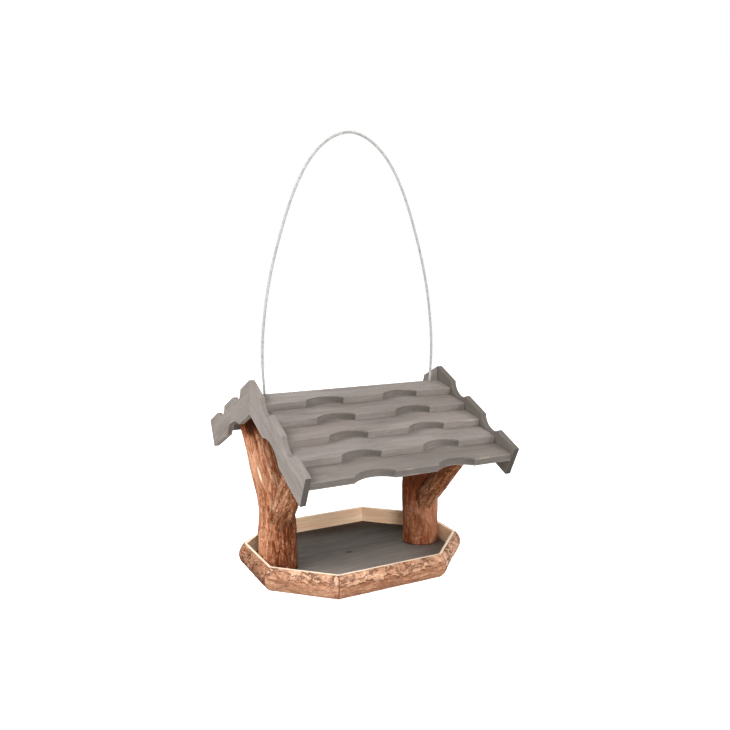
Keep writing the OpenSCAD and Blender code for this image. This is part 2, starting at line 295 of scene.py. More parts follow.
def new_group(name, inputs, results):
    """An empty node group, its inputs by name, and the sockets of its results, which are plain numbers."""
    tree = bpy.data.node_groups.new(name, "ShaderNodeTree")
    for label, kind in inputs.items():
        tree.interface.new_socket(label, in_out="INPUT", socket_type="NodeSocket" + kind)
    for label in results:
        tree.interface.new_socket(label, in_out="OUTPUT", socket_type="NodeSocketFloat")
    return tree, outputs(tree.nodes.new("NodeGroupInput")), tree.nodes.new("NodeGroupOutput").inputs


def place_group(tree, group, **inputs):
    """Places a node group in a material with its own values, and gives its outputs."""
    return outputs(new_node(tree, "Group", inputs, node_tree=group))


# Effects that more than one material uses
# Repeats per metre: along the grain, across it and through it
GRAIN_LINES = (16.0, 230.0, 230.0)
GRAIN_FIGURE = (6.0, 42.0, 42.0)
GRAIN_FIBRES = (90.0, 1100.0, 1100.0)
WEAR_BREAKS = (22.0, 90.0, 90.0)
WEAR_SOFTNESS = 0.18
# Noise lies evenly round this value
MIDDLE = 0.5


def wood_grain_group():
    """Grain along the first axis of its coordinates: fine lines, broad figure and fibres."""
    tree, given, out = new_group("wood_grain", {"Grain": "Vector"}, ["Lines", "Figure", "Fibre"])
    lines = speckle(stretch(given["Grain"], GRAIN_LINES), detail=5.0, distortion=1.2)
    figure = speckle(stretch(given["Grain"], GRAIN_FIGURE), detail=3.0, distortion=1.4)
    fibre = speckle(stretch(given["Grain"], GRAIN_FIBRES), detail=3.0)
    wire(out, Lines=limits(lines, low=0.3, high=0.7), Figure=limits(figure, low=0.3, high=0.7), Fibre=fibre)
    return tree


def edge_wear_group():
    """Where rubbed edges show paler wood: a broken-up mask from the edges stored on the mesh."""
    inputs = {"Edge": "Float", "Grain": "Vector", "Amount": "Float"}
    tree, given, out = new_group("edge_wear", inputs, ["Wear"])
    broken = speckle(stretch(given["Grain"], WEAR_BREAKS), detail=4.0)
    keep = 1.0 - given["Amount"]
    wire(out, Wear=limits(broken, low=keep, high=keep + WEAR_SOFTNESS) * given["Edge"])
    return tree


def blotch_group():
    """Soft uneven patches, as in stain that took unevenly."""
    tree, given, out = new_group("blotches", {"Place": "Vector", "Size": "Float"}, ["Patch"])
    per_metre = calc(tree, "DIVIDE", 1.0, given["Size"])
    patch = speckle(given["Place"], per_metre, detail=3.0, distortion=0.4)
    wire(out, Patch=limits(patch, low=0.32, high=0.68))
    return tree


def knot_group():
    """A knot with its rings, at a place on the grain."""
    inputs = {"Grain": "Vector", "Place": "Vector", "Size": "Float"}
    tree, given, out = new_group("knot", inputs, ["Knot", "Rings"])
    ring_rate = 9.0
    wave = 0.9
    away = stretch(vector_calc("SUBTRACT", given["Grain"], given["Place"]), (0.6, 1.0, 1.0))
    far = add(tree, "VectorMath", {0: away}, "Value", operation="LENGTH")
    wavy = speckle(given["Grain"], scale=120.0, detail=2.0)
    rough = calc(tree, "DIVIDE", far, given["Size"]) + (wavy - MIDDLE) * wave
    rings = calc(tree, "SINE", rough * ring_rate) * 0.5 + 0.5
    wire(out, Knot=fading(rough, low=0.6, high=1.1), Rings=rings * fading(rough, low=1.0, high=3.2))
    return tree


def bark_craze(place, amount):
    """Fine cracks between small plates, open in places."""
    shake = (0.012, 0.012, 0.012)
    shaken = add(place.tree, "TexNoise", {"Vector": place, "Scale": 280.0, "Detail": 4.0}, "Color")
    shaken = stretch(vector_calc("SUBTRACT", shaken, (MIDDLE, MIDDLE, MIDDLE)), shake)
    plates = {"Vector": vector_calc("ADD", place, shaken), "Scale": 90.0}
    from_edge = add(place.tree, "TexVoronoi", plates, "Distance", feature="DISTANCE_TO_EDGE")
    opened = limits(speckle(place, scale=55.0, detail=2.0), low=0.45, high=0.53)
    return fading(from_edge, low=0.02, high=0.13) * opened * amount


def bark_marks(place):
    """Short dark dashes along the grain, and short breaks across it."""
    dashes = speckle(stretch(place, (0.6, 1.0, 1.0)), scale=260.0, distortion=0.9)
    breaks = speckle(stretch(place, (3.6, 0.5, 0.5)), scale=240.0, distortion=1.2)
    return larger(limits(dashes, low=0.43, high=0.34), limits(breaks, low=0.42, high=0.34))


def bark_skin_group():
    """Tones of flaking bark, from the cracks, painted shade and flakes stored on the mesh, with fibres along
    the grain, painted highlights on curled sheets and painted shadows under them.
    """
    inputs = {"Place": "Vector", "Crack": "Float", "Flake": "Float", "Grit": "Float", "Flaky": "Float",
              "Craze": "Float"}
    tree, given, out = new_group("bark_skin", inputs, ["Tone", "Gap", "Speck", "Relief"])
    place = given["Place"]
    sheets_deep = 9.0
    sheet_middle = 0.4

    # Grit and streaks
    coarse = speckle(place, scale=75.0, detail=5.0, distortion=0.8)
    fine = speckle(place, scale=330.0, detail=5.0, distortion=0.5)
    fibre = speckle(stretch(place, (0.25, 1.0, 1.0)), scale=420.0, distortion=0.6)
    streak = speckle(stretch(place, (0.4, 1.0, 1.0)), scale=150.0, detail=4.0, distortion=0.7)
    grit = fine * 0.6 + fibre * 0.4
    rough = (streak - MIDDLE) * 0.9 + (grit - MIDDLE)

    # Small sheets that curl up at one edge, with a painted highlight on the curl and a painted shadow under
    # it
    level = speckle(place, scale=130.0, distortion=0.9) * sheets_deep
    inside = calc(tree, "FRACT", level)
    sheet = add(tree, "TexWhiteNoise", {"W": calc(tree, "FLOOR", level)}, "Value", noise_dimensions="1D")
    curl = limits(inside, low=0.5, high=1.0)
    below = fading(inside, low=0.0, high=0.3)
    sheets = (given["Flake"] - MIDDLE) * 0.45 + (sheet - sheet_middle) * 0.3 + curl * 0.14
    tone = sheets * given["Flaky"] + coarse * 0.5 + rough * given["Grit"]

    # Cracks with painted shade, specks in the painted shadow under curls, and height
    craze = bark_craze(place, given["Craze"])
    gap = given["Crack"] + (MIDDLE - grit) * 1.2
    speck = speckle(stretch(place, (1.6, 1.0, 1.0)), scale=90.0, detail=4.0, distortion=0.3)
    speck = below * limits(speck, low=0.42, high=0.58)
    height = (curl - below) * (given["Flaky"] * 0.6) + (streak + grit * 0.9) - craze
    # Tone carries the painted highlight on curls; the dark outputs carry cracks, painted shade from the mesh
    # and the painted shadow under curls
    wire(out, Tone=limits(tone, low=-0.185, high=0.715), Gap=larger(limits(gap, low=0.3, high=0.85), craze),
         Speck=larger(speck, bark_marks(place)), Relief=coarse + height)
    return tree


WOOD_GRAIN = wood_grain_group()
EDGE_WEAR = edge_wear_group()
BLOTCHES = blotch_group()
WOOD_KNOT = knot_group()
BARK_SKIN = bark_skin_group()


# Materials
def new_material(name, **values):
    """A material with one Principled shader, and plain values on the shader's own sockets."""
    material = bpy.data.materials.new(name)
    material.use_nodes = True
    shader = material.node_tree.nodes["Principled BSDF"]
    for key, value in values.items():
        shader.inputs[key.replace("_", " ")].default_value = value
    return material, material.node_tree, shader.inputs


def blotches(place, longer, size):
    """Patches of a size in metres, drawn out along the grain."""
    return place_group(place.tree, BLOTCHES, Place=stretch(place, (longer, 1.0, 1.0)), Size=size)["Patch"]


def edge_wear(grain, amount):
    edge = attribute(grain.tree, "edge")
    return place_group(grain.tree, EDGE_WEAR, Edge=edge, Grain=grain, Amount=amount)["Wear"]


def spread(value, low, high):
    """Spreads a share from 0 to 1 over another range."""
    return limits(value, low=0.0, high=1.0, to_low=low, to_high=high)


def grey_stain_material():
    """Grey stain on planed softwood, thin on the edges and dark on sawn notches and ends, with painted shade
    across the notches and painted light on the faces of the roof boards' lower edges.
    """
    dark_figure = srgb(114, 107, 103)
    light_figure = srgb(133, 125, 121)
    dark_line = srgb(100, 92, 88)
    pale_fibre = srgb(160, 151, 144)
    thin_stain = srgb(150, 142, 137)
    warm_stain = srgb(126, 116, 102)
    light_board = srgb(186, 179, 170)
    dark_board = srgb(92, 86, 80)
    rubbed_edge = srgb(186, 172, 150)
    sawn_wood = srgb(56, 52, 48)
    material, tree, shader = new_material("grey_stain", Specular_IOR_Level=0.1)
    grain = attribute(tree, "grain", "Vector")
    tone = attribute(tree, "tone")
    wood = place_group(tree, WOOD_GRAIN, Grain=grain)
    sawn = limits(wood["Fibre"], low=0.25, high=0.7, to_low=1.0, to_high=0.72)
    colour = mix(wood["Figure"], dark_figure, light_figure)
    colour = mix(wood["Lines"] * 0.5, colour, dark_line)
    colour = mix(limits(wood["Fibre"], low=0.5, high=0.7) * 0.3, colour, pale_fibre)
    colour = mix(blotches(grain, longer=0.35, size=0.03) * 0.3, colour, thin_stain)
    colour = mix(blotches(grain, longer=0.6, size=0.07) * 0.22, colour, warm_stain)
    # Tone sets each board's grey, and on the faces of the roof boards' lower edges it carries painted light
    colour = mix(limits(tone, low=0.5, high=1.0) * 0.6, colour, light_board)
    colour = mix(limits(tone, low=0.5, high=0.0) * 0.9, colour, dark_board)
    colour = mix(edge_wear(grain, amount=0.42) * 0.55, colour, rubbed_edge)
    # Sawn faces are darker; across the notches part of this darkness is painted shade
    colour = mix(attribute(tree, "cut") * sawn, colour, sawn_wood)
    wire(shader, Base_Color=colour, Roughness=spread(wood["Lines"], low=0.62, high=0.78),
         Normal=bump(wood["Lines"] * -0.6 + wood["Fibre"], distance=0.4 * MM, strength=0.7))
    return material


def floor_stain_material():
    """Darker grey stain on the floor board, with painted light growing towards the front so that it darkens
    towards the back as painted shade, and a small knot in the middle.
    """
    dark_figure = srgb(55, 48, 42)
    light_figure = srgb(65, 58, 52)
    faded_stain = srgb(152, 143, 135)
    grain_line = srgb(64, 58, 53)
    thin_stain = srgb(96, 89, 82)
    knot_ring = srgb(58, 52, 47)
    knot_heart = srgb(42, 36, 31)
    dark_y = 0.06
    faded_y = -0.13
    knot_place = (-0.004, 0.003, 0.010)
    material, tree, shader = new_material("floor_stain", Specular_IOR_Level=0.06)
    grain = add(tree, "TexCoord", output="Object")
    wood = place_group(tree, WOOD_GRAIN, Grain=grain)
    knot = place_group(tree, WOOD_KNOT, Grain=grain, Place=knot_place, Size=3.4 * MM)
    across = add(tree, "SeparateXYZ", {0: grain}, "Y")
    colour = mix(wood["Figure"], dark_figure, light_figure)
    # Painted light on the front of the floor, fading into painted shade under the roof at the back
    colour = mix(limits(across, low=dark_y, high=faded_y), colour, faded_stain)
    colour = mix(wood["Lines"] * 0.2, colour, grain_line)
    colour = mix(blotches(grain, longer=0.4, size=0.05) * 0.3, colour, thin_stain)
    colour = mix(knot["Rings"] * 0.35, colour, knot_ring)
    colour = mix(knot["Knot"], colour, knot_heart)
    wire(shader, Base_Color=colour, Roughness=spread(wood["Lines"], low=0.55, high=0.72),
         Normal=bump(wood["Lines"], distance=0.4 * MM, strength=0.6))
    return material


def pale_pine_material():
    """Sawn pine, with no stain."""
    dark_figure = srgb(254, 210, 172)
    light_figure = srgb(255, 230, 200)
    grain_line = srgb(220, 170, 126)
    rubbed_edge = srgb(252, 234, 210)
    material, tree, shader = new_material("pale_pine", Specular_IOR_Level=0.2)
    grain = attribute(tree, "grain", "Vector")
    wood = place_group(tree, WOOD_GRAIN, Grain=grain)
    colour = mix(wood["Figure"], dark_figure, light_figure)
    colour = mix(wood["Lines"] * 0.5, colour, grain_line)
    colour = mix(edge_wear(grain, amount=0.75) * 0.8, colour, rubbed_edge)
    wire(shader, Base_Color=colour, Roughness=spread(wood["Lines"], low=0.6, high=0.75),
         Normal=bump(wood["Lines"], distance=0.3 * MM, strength=0.6))
    return material


# Where the four tones of a bark lie, from dark to light
BARK_STOPS = (0.1, 0.4, 0.65, 0.95)


def bark_material(name, tones, shade, gap, longer, grit, specks, flaky, craze):
    """Flaking bark in tones from dark to light, with darker patches, warm painted shade, painted light and
    shade from the mesh, and dark gaps between its flakes that also carry painted shade.
    """
    rubbed_bark = srgb(246, 218, 190)
    material, tree, shader = new_material(name, Specular_IOR_Level=0.12)
    place = stretch(attribute(tree, "grain", "Vector"), (1 / longer, 1.0, 1.0))
    stirred = 1.0 - attribute(tree, "calm")
    # The flake tone stored on the mesh also carries painted light and shade
    skin = place_group(tree, BARK_SKIN, Place=place, Crack=attribute(tree, "crack"),
                       Flake=attribute(tree, "flake"), Grit=(stirred + 1.0) * (grit / 2), Flaky=flaky,
                       Craze=stirred * craze)
    patch = place_group(tree, BLOTCHES, Place=place, Size=0.02)["Patch"]
    colour = ramp(skin["Tone"], [(stop, srgb(*tone)) for stop, tone in zip(BARK_STOPS, tones)])
    colour = mix(patch * 0.35, colour, shade)
    # Warm painted shade where the mesh asks for it
    colour = mix(attribute(tree, "ruddy"), colour, shade)
    # Dark specks, and painted shadow under curled sheets
    colour = mix(skin["Speck"] * (stirred * specks), colour, gap)
    # Dark gaps, with the painted shade stored on the mesh
    colour = mix(skin["Gap"] * 0.9, colour, gap)
    colour = mix(attribute(tree, "rub"), colour, rubbed_bark)
    wire(shader, Base_Color=colour, Roughness=spread(skin["Tone"], low=0.85, high=0.7),
         Normal=bump(skin["Relief"], distance=1.0 * MM, strength=0.8))
    return material


def rope_material():
    """Stiff white cord, with painted shade in the grooves between its strands."""
    clean = srgb(163, 162, 160)
    soiled = srgb(143, 142, 139)
    valley = srgb(126, 124, 120)
    material, tree, shader = new_material("rope", Specular_IOR_Level=0.3, Sheen_Weight=0.15)
    place = add(tree, "TexCoord", output="Object")
    fuzz = speckle(place, scale=2600.0, detail=2.0)
    colour = mix(limits(speckle(place, scale=160.0), low=0.35, high=0.7), clean, soiled)
    # Painted shade in the grooves between strands
    colour = mix(attribute(tree, "valley") * 0.35, colour, valley)
    wire(shader, Base_Color=colour, Roughness=limits(fuzz, low=0.3, high=0.7, to_low=0.6, to_high=0.8),
         Normal=bump(fuzz, distance=0.2 * MM, strength=0.5))
    return material


def steel_material():
    """Plain zinc-plated steel, a little dull."""
    material, tree, shader = new_material("steel", Metallic=1.0)
    dull = speckle(add(tree, "TexCoord", output="Object"), scale=900.0)
    wire(shader, Base_Color=mix(dull, srgb(104, 102, 100), srgb(138, 136, 134)),
         Roughness=limits(dull, low=0.2, high=0.8, to_low=0.5, to_high=0.7))
    return material


GREY_STAIN = grey_stain_material()
FLOOR_STAIN = floor_stain_material()
PALE_PINE = pale_pine_material()
LOG_SKIN = {"longer": 2.8, "grit": 1.05, "specks": 0.55, "flaky": 0.75, "craze": 0.2}
RIM_SKIN = {"longer": 1.5, "grit": 0.7, "specks": 0.45, "flaky": 0.5, "craze": 1.0}
LOG_BARK = bark_material("log_bark", [(84, 37, 15), (140, 80, 47), (172, 114, 81), (206, 155, 123)],
                         shade=srgb(132, 72, 42), gap=srgb(68, 31, 15), **LOG_SKIN)
BRANCH_BARK = bark_material("branch_bark", [(84, 43, 20), (139, 88, 57), (171, 121, 91), (205, 162, 133)],
                            shade=srgb(131, 80, 51), gap=srgb(68, 36, 20), **LOG_SKIN)
RIM_BARK = bark_material("rim_bark", [(126, 80, 55), (174, 126, 97), (195, 149, 119), (224, 182, 153)],
                         shade=srgb(174, 128, 100), gap=srgb(78, 44, 28), **RIM_SKIN)
ROPE = rope_material()
STEEL = steel_material()

# Rope: one loop through a hole at each end of the ridge
ROPE_D = 4 * MM
ROPE_SIDES = 24
ROPE_STEPS = 30
ROPE_SHARP = 80
STRANDS = 4
STRAND_RISE = 0.25 * MM
STRAND_LAY = 9 * MM
ROPE_IN_HOLE = 13 * MM
# Left half of the rope's route, in millimetres: distance from the middle, and height above the hinge line
ROPE_HALF = [(-146, 0), (-147, 14), (-148, 32), (-148.5, 52), (-148, 72), (-146.5, 92), (-144, 114),
             (-141, 136), (-137, 158), (-132, 181), (-125.5, 206), (-117.5, 233), (-108, 262), (-97, 291),
             (-84, 319), (-68, 345), (-48, 367), (-25, 382), (0, 388)]
ROPE_X = -ROPE_HALF[0][0] * MM


def smooth_route(points, steps):
    """A smooth curve through points, with as many steps between two of them."""
    points = np.asarray(points, float)
    padded = np.vstack([2 * points[0] - points[1], points, 2 * points[-1] - points[-2]])
    t = np.arange(steps)[:, None] / steps
    curve = []
    for a, b, c, d in zip(padded[:-3], padded[1:-2], padded[2:-1], padded[3:]):
        bend = t * t * (a - 2.5 * b + 2 * c - d / 2) + t * t * t * (1.5 * (b - c) + (d - a) / 2)
        curve.append(b + t / 2 * (c - a) + bend)
    curve.append(points[-1:])
    return np.vstack(curve)


def braid(turn, along):
    """How high the strands of a braid stand, from 0 to 1, where two sets of strands cross over and under."""
    lay = 2 * math.pi * along / STRAND_LAY
    left = STRANDS * turn + STRANDS * lay
    right = STRANDS * turn - STRANDS * lay
    over = np.cos((left + right) / 4) * np.cos((left - right) / 4)
    return np.where(over > 0, np.abs(np.cos(left / 2)), np.abs(np.cos(right / 2)))


def cord_tube(name, path, diameter, sides):
    """A braided tube along a path; ends are closed."""
    ahead = np.gradient(path, axis=0)
    ahead /= np.linalg.norm(ahead, axis=1)[:, None]
    across = np.cross(ahead, (0.0, 1.0, 0.0))
    across /= np.linalg.norm(across, axis=1)[:, None]
    beside = np.cross(ahead, across)
    along = np.concatenate([[0], np.cumsum(np.linalg.norm(np.diff(path, axis=0), axis=1))])
    turn = np.arange(sides) * 2 * math.pi / sides
    rise = braid(turn[None, :], along[:, None])
    radius = (diameter / 2 - STRAND_RISE * (1 - rise))[..., None]
    ring = np.cos(turn)[None, :, None] * across[:, None] + np.sin(turn)[None, :, None] * beside[:, None]
    points = path[:, None] + radius * ring
    piece = new_piece(name, points, capped_tube(len(path), sides), [ROPE], ROPE_SHARP)
    # Valleys between strands, where the rope's material paints shade
    give(piece, "valley", 1 - rise)
    return piece


def make_rope():
    left = [(x * MM, 0.0, HINGE_Z + z * MM) for x, z in ROPE_HALF]
    right = [(-x, y, z) for x, y, z in reversed(left[:-1])]
    into_hole = [(-ROPE_X, 0.0, HINGE_Z - ROPE_IN_HOLE)]
    out_of_hole = [(ROPE_X, 0.0, HINGE_Z - ROPE_IN_HOLE)]
    path = smooth_route(into_hole + left + right + out_of_hole, ROPE_STEPS)
    rope = cord_tube("hanging_loop", path, ROPE_D, ROPE_SIDES)
    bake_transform(rope)
    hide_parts("hanging_rope")


make_rope()

# Stopper knots under the ridge
TAIL_L = 8 * MM
TAIL_GAP = 2 * MM
ROPE_OVERLAP = 4 * MM
KNOT_SIDES = 16
KNOT_STEPS = 8
KNOT_PLACES = 60
KNOT_EVERY = 6
KNOT_START = 0.12 * math.pi
KNOT_PULL = 0.95
KNOT_WAVE = 0.9
KNOT_DROP = 0.7
TREFOIL_REACH = 3


def make_stopper(side, end):
    """A stopper knot under the ridge, tied in the rope's own end as a trefoil, with a short tail."""
    low, high = node_box(f"rope_end_{end}")
    x = side * ROPE_X
    knot_r = (high[0] - low[0]) / 2
    knot_z = low[2] + TAIL_L + knot_r
    wide = knot_r - ROPE_D / 2
    turns = np.linspace(KNOT_START, 2 * math.pi - KNOT_START, KNOT_PLACES)
    sideways = wide * (np.sin(turns) + 2 * np.sin(2 * turns)) / TREFOIL_REACH
    forward = wide * (np.cos(turns) - 2 * np.cos(2 * turns)) / TREFOIL_REACH
    down = np.linspace(1, -1, KNOT_PLACES) * wide * KNOT_DROP - wide * KNOT_WAVE * np.sin(3 * turns)
    loop = np.stack([x + sideways, forward, knot_z + down], axis=1)
    above = [(x, 0, HINGE_Z - ROPE_IN_HOLE + ROPE_OVERLAP), (x, 0, knot_z + knot_r)]
    tail = [(x, 0, knot_z - knot_r - TAIL_GAP), (x, 0, low[2])]
    path = smooth_route(np.vstack([above, loop[::KNOT_EVERY], tail]), KNOT_STEPS)
    stopper = cord_tube(f"stopper_knot_{end}", path, ROPE_D * KNOT_PULL, KNOT_SIDES)
    settle(stopper, "rope", f"rope_end_{end}")


make_stopper(-1, "left")
make_stopper(1, "right")

# Roof: lapped boards that lie flatter than the slope
ROOF_PITCH = math.radians(25.3)
ROWS = 5
BOARD_SHOW = 43.8 * MM
BOARD_T = 11 * MM
BOARD_LAP = 16 * MM
BOARD_TILT = math.asin(BOARD_T / BOARD_SHOW)
BOARD_PITCH = ROOF_PITCH - BOARD_TILT
BOARD_W = BOARD_SHOW * math.cos(BOARD_TILT) + BOARD_LAP
BOARD_STEP = 2.2 * MM
SLOPE_L = ROWS * BOARD_SHOW
NOTCH_W = 63 * MM
NOTCH_DEPTH = 11 * MM
NOTCH_X = 65 * MM
LEAST_CUT = 0.2 * MM
# Rounded edges, and the band beside them
EDGE_ROUND = 0.9 * MM
UNDER_ROUND = 0.3 * MM
RIDGE_ROUND = 0.15 * MM
EDGE_BAND = 1.6 * MM
EDGE_BEND = np.radians([0, 30, 60, 90])
FACE_SHARES = np.linspace(0.12, 0.88, 10)
BOARD_SHARP = 50
# Sawn edges wander a little
SAW_WANDER = 0.22 * MM
SAW_RATE = 140
SAW_SHIFT = 7.3
SAW_DEPTH = 0.5
GRAIN_SHIFT = np.array([0.37, 0.61, 0.23])
# Darkness of sawn faces, from 0 to 1: sawn notch walls take the stain darker, with painted shade that grows
# towards the right end of each notch, and the eave board's lower edge is darker
NOTCH_STAIN = 0.42
NOTCH_TURN = 0.45
NOTCH_LEAST = 0.2
NOTCH_MOST = 0.9
NOTCH_LIP = 0.6
EAVE_STAIN = 0.52
# Tones of the boards from the ridge down, by slope, and how much paler the faces of their lower edges are, as
# painted light
BOARD_TONES = {-1: (0.34, 0.35, 0.46, 0.54, 0.28), 1: (0.36, 0.33, 0.38, 0.4, 0.26)}
EDGE_RUB = (0.08, 0.08, 0.1, 0.06, 0.0)
BACK_SEED = 10


def row_edge(row):
    """Distance from the ridge plane, and height, of the lower edge of a row."""
    return row * BOARD_SHOW * math.cos(ROOF_PITCH), RIDGE_Z - row * BOARD_SHOW * math.sin(ROOF_PITCH)


def row_width(row):
    return BOARD_W if row > 1 else BOARD_W - BOARD_LAP


def arc_cut(place, middle, width, depth):
    """Depth of an arc-shaped cut at places along an edge."""
    radius = (width ** 2 / 4 + depth ** 2) / (2 * depth)
    inside = np.clip(radius ** 2 - (place - middle) ** 2, 0, None)
    return np.clip(np.sqrt(inside) - (radius - depth), 0, None)


def section(thick, head):
    """Points round a plank with a rounded head: share of its width, offset from there, height, edge and end.

    Edge is 1 on a rounded edge. End is 1 on the head's face and -1 on the lower edge's face.
    """
    near = EDGE_ROUND + EDGE_BAND
    lip = EDGE_ROUND
    under = UNDER_ROUND
    levels = (near, thick / 2, thick - near)
    points = [(0, near, 0, 0, 0)]
    points += [(share, 0, 0, 0, 0) for share in FACE_SHARES]
    points += [(1, -near, 0, 0, 0)]
    points += [(1, -head + head * math.sin(a), head - head * math.cos(a), 1, 0) for a in EDGE_BEND]
    points += [(1, 0, level, 0, 1) for level in levels]
    points += [(1, -head + head * math.cos(a), thick - head + head * math.sin(a), 1, 0) for a in EDGE_BEND]
    points += [(1, -near, thick, 0, 0)]
    points += [(share, 0, thick, 0, 0) for share in reversed(FACE_SHARES)]
    points += [(0, near, thick, 0, 0)]
    points += [(0, lip - lip * math.sin(a), thick - lip + lip * math.cos(a), 1, 0) for a in EDGE_BEND]
    points += [(0, 0, level, 0, -1) for level in reversed(levels)]
    points += [(0, under - under * math.cos(a), under - under * math.sin(a), 1, 0) for a in EDGE_BEND]
    return np.array(points).T


def plank(name, stations, low, high, thick, to_frame, tone, seed, cuts, rubbed=0.0, head=EDGE_ROUND):
    """A board along its stations, from its low to its high edge, with rounded edges and sawn ends.

    Cuts say how dark the lower edge, the head and the lower lip are at each station.
    """
    share, offset, through, edge, end = section(thick, head)
    saw = np.array([noise.noise(Vector((s * SAW_RATE, seed * SAW_SHIFT, SAW_DEPTH))) for s in stations])

    # Each end is pulled in a little, for a rounded edge
    inset = EDGE_ROUND / 2
    first = stations[0]
    last = stations[-1]
    again = np.concatenate([[0], np.arange(len(stations)), [len(stations) - 1]])
    stations = np.concatenate([[first, first + inset], stations[1:-1], [last - inset, last]])
    pull = np.zeros(len(stations))
    pull[[0, -1]] = inset
    low = (low + saw * SAW_WANDER)[again] + pull
    high = high[again] - pull
    along = np.repeat(stations[:, None], len(share), axis=1)
    across = low[:, None] + share * (high - low)[:, None] + offset
    height = through + (pull[:, None] / (thick / 2)) * (thick / 2 - through)
    points = to_frame(along, across, height)
    piece = new_piece(name, points, capped_tube(len(stations), len(share)), [GREY_STAIN], BOARD_SHARP)

    # Sawn faces, worn edges, and painted light on the faces of the lower edges
    cut_low, cut_high, cut_lip = (side[again][:, None] for side in cuts)
    lip = (share == 0) & (edge == 1) & (through > thick / 2)
    cut = np.where(end < 0, cut_low, 0) + np.where(end > 0, cut_high, 0) + np.where(lip, cut_lip, 0)
    cut[[0, -1]] = 1
    give_grain(piece, np.stack([along, across, height], axis=-1) + seed * GRAIN_SHIFT)
    give(piece, "edge", np.tile(edge, len(stations)))
    give(piece, "cut", cut)
    give(piece, "tone", tone + rubbed * ((end < 0) & (cut == 0)))
    return piece


def spaced(start, stop, step, *corners):
    """Even places from start to stop, with the corners among them."""
    even = np.linspace(start, stop, int(round((stop - start) / step)) + 1)
    kept = [e for e in even if all(abs(e - c) > step / 3 for c in corners)]
    return np.sort(np.concatenate([kept, corners]))


def roof_board(slope, row, tone, seed):
    """One lapped roof board; slope is -1 on the front and 1 on the back."""
    edge_y, edge_z = row_edge(row)
    wide = row_width(row)
    corners = [side * NOTCH_X + half * NOTCH_W / 2 for side in (-1, 1) for half in (-1, 1)]
    stations = spaced(-GABLE_IN, GABLE_IN, BOARD_STEP, *corners)
    plain = np.zeros(len(stations))
    notch = sum(arc_cut(stations, side * NOTCH_X, NOTCH_W, NOTCH_DEPTH) for side in (-1, 1))
    notched = notch > LEAST_CUT
    ridge_cut = math.tan(BOARD_PITCH) if row == 1 else 0.0

    def to_frame(along, across, height):
        up = across - np.where(across > wide - EDGE_ROUND / 2, (BOARD_T - height) * ridge_cut, 0)
        distance = edge_y - up * math.cos(BOARD_PITCH) + height * math.sin(BOARD_PITCH)
        rise = edge_z + up * math.sin(BOARD_PITCH) + height * math.cos(BOARD_PITCH)
        return np.stack([along, slope * distance, rise], axis=-1)

    name = f"{'front' if slope < 0 else 'back'}_board_{row}"
    across_notch = (np.abs(stations) - NOTCH_X) * np.sign(stations) / (NOTCH_W / 2)
    # Notch walls are darker as sawn wood, and darker still towards their right ends as painted shade
    stain = np.clip(NOTCH_STAIN + NOTCH_TURN * across_notch, NOTCH_LEAST, NOTCH_MOST) * notched
    stain = np.maximum(stain, EAVE_STAIN if row == ROWS else 0.0)
    head = EDGE_ROUND if row > 1 else RIDGE_ROUND
    board = plank("shaped_" + name, stations, notch, plain + wide, BOARD_T, to_frame, tone, seed,
                  (stain, plain, NOTCH_LIP * notched), EDGE_RUB[row - 1], head)
    settle(board, "grey_stain", name)


for slope in (-1, 1):
    for row in range(1, ROWS + 1):
        roof_board(slope, row, BOARD_TONES[slope][row - 1], row + (BACK_SEED if slope > 0 else 0))

# Bargeboards with scooped edges
BARGE_W = 47 * MM
BARGE_RISE = 20.7 * MM
BARGE_STEP = 1.8 * MM
SCOOP_W = 44 * MM
SCOOP_DEPTH = 12.5 * MM
SCOOP_GAP = 92 * MM
SCOOP_STAIN = 0.2
LOW_SCOOP_W = 68 * MM
LOW_SCOOP_DEPTH = 12 * MM
LOW_SCOOP_STAIN = 0.4
BARGE_MID = (SLOPE_L - BARGE_RISE * math.tan(ROOF_PITCH)) / 2
MITRE_REACH = 22 * MM


def bargeboard(side, slope, tone, seed):
    """One bargeboard; side is -1 on the left, slope is -1 on the front."""
    tops = [BARGE_MID + half * SCOOP_GAP / 2 for half in (-1, 1)]
    corners = [top + half * SCOOP_W / 2 for top in tops for half in (-1, 1)]
    corners += [BARGE_MID + half * LOW_SCOOP_W / 2 for half in (-1, 1)]
    stations = spaced(0.0, SLOPE_L, BARGE_STEP, *corners, MITRE_REACH)
    top_cut = sum(arc_cut(stations, top, SCOOP_W, SCOOP_DEPTH) for top in tops)
    low_cut = arc_cut(stations, BARGE_MID, LOW_SCOOP_W, LOW_SCOOP_DEPTH)

    def to_frame(along, across, height):
        down = along - across * math.tan(ROOF_PITCH) * np.clip(1 - along / MITRE_REACH, 0, 1)
        distance = down * math.cos(ROOF_PITCH) + across * math.sin(ROOF_PITCH)
        rise = RIDGE_Z - down * math.sin(ROOF_PITCH) + across * math.cos(ROOF_PITCH)
        return np.stack([side * (GABLE_IN + height), slope * distance, rise], axis=-1)

    name = f"bargeboard_{'left' if side < 0 else 'right'}_{'front' if slope < 0 else 'back'}"
    low = BARGE_RISE - BARGE_W + low_cut
    high = BARGE_RISE - top_cut
    cuts = ((low_cut > LEAST_CUT) * LOW_SCOOP_STAIN, (top_cut > LEAST_CUT) * SCOOP_STAIN, 0 * stations)
    board = plank("shaped_" + name, stations, low, high, BARGE_T, to_frame, tone, seed, cuts)
    settle(board, "grey_stain", name)


bargeboard(-1, -1, tone=0.57, seed=21)
bargeboard(-1, 1, tone=0.46, seed=22)
bargeboard(1, -1, tone=0.0, seed=23)
bargeboard(1, 1, tone=0.34, seed=24)

# Bark: thin layers that flake off in sheets, and fissures along the grain
BARK_SEED = 3
noise.seed_set(BARK_SEED)
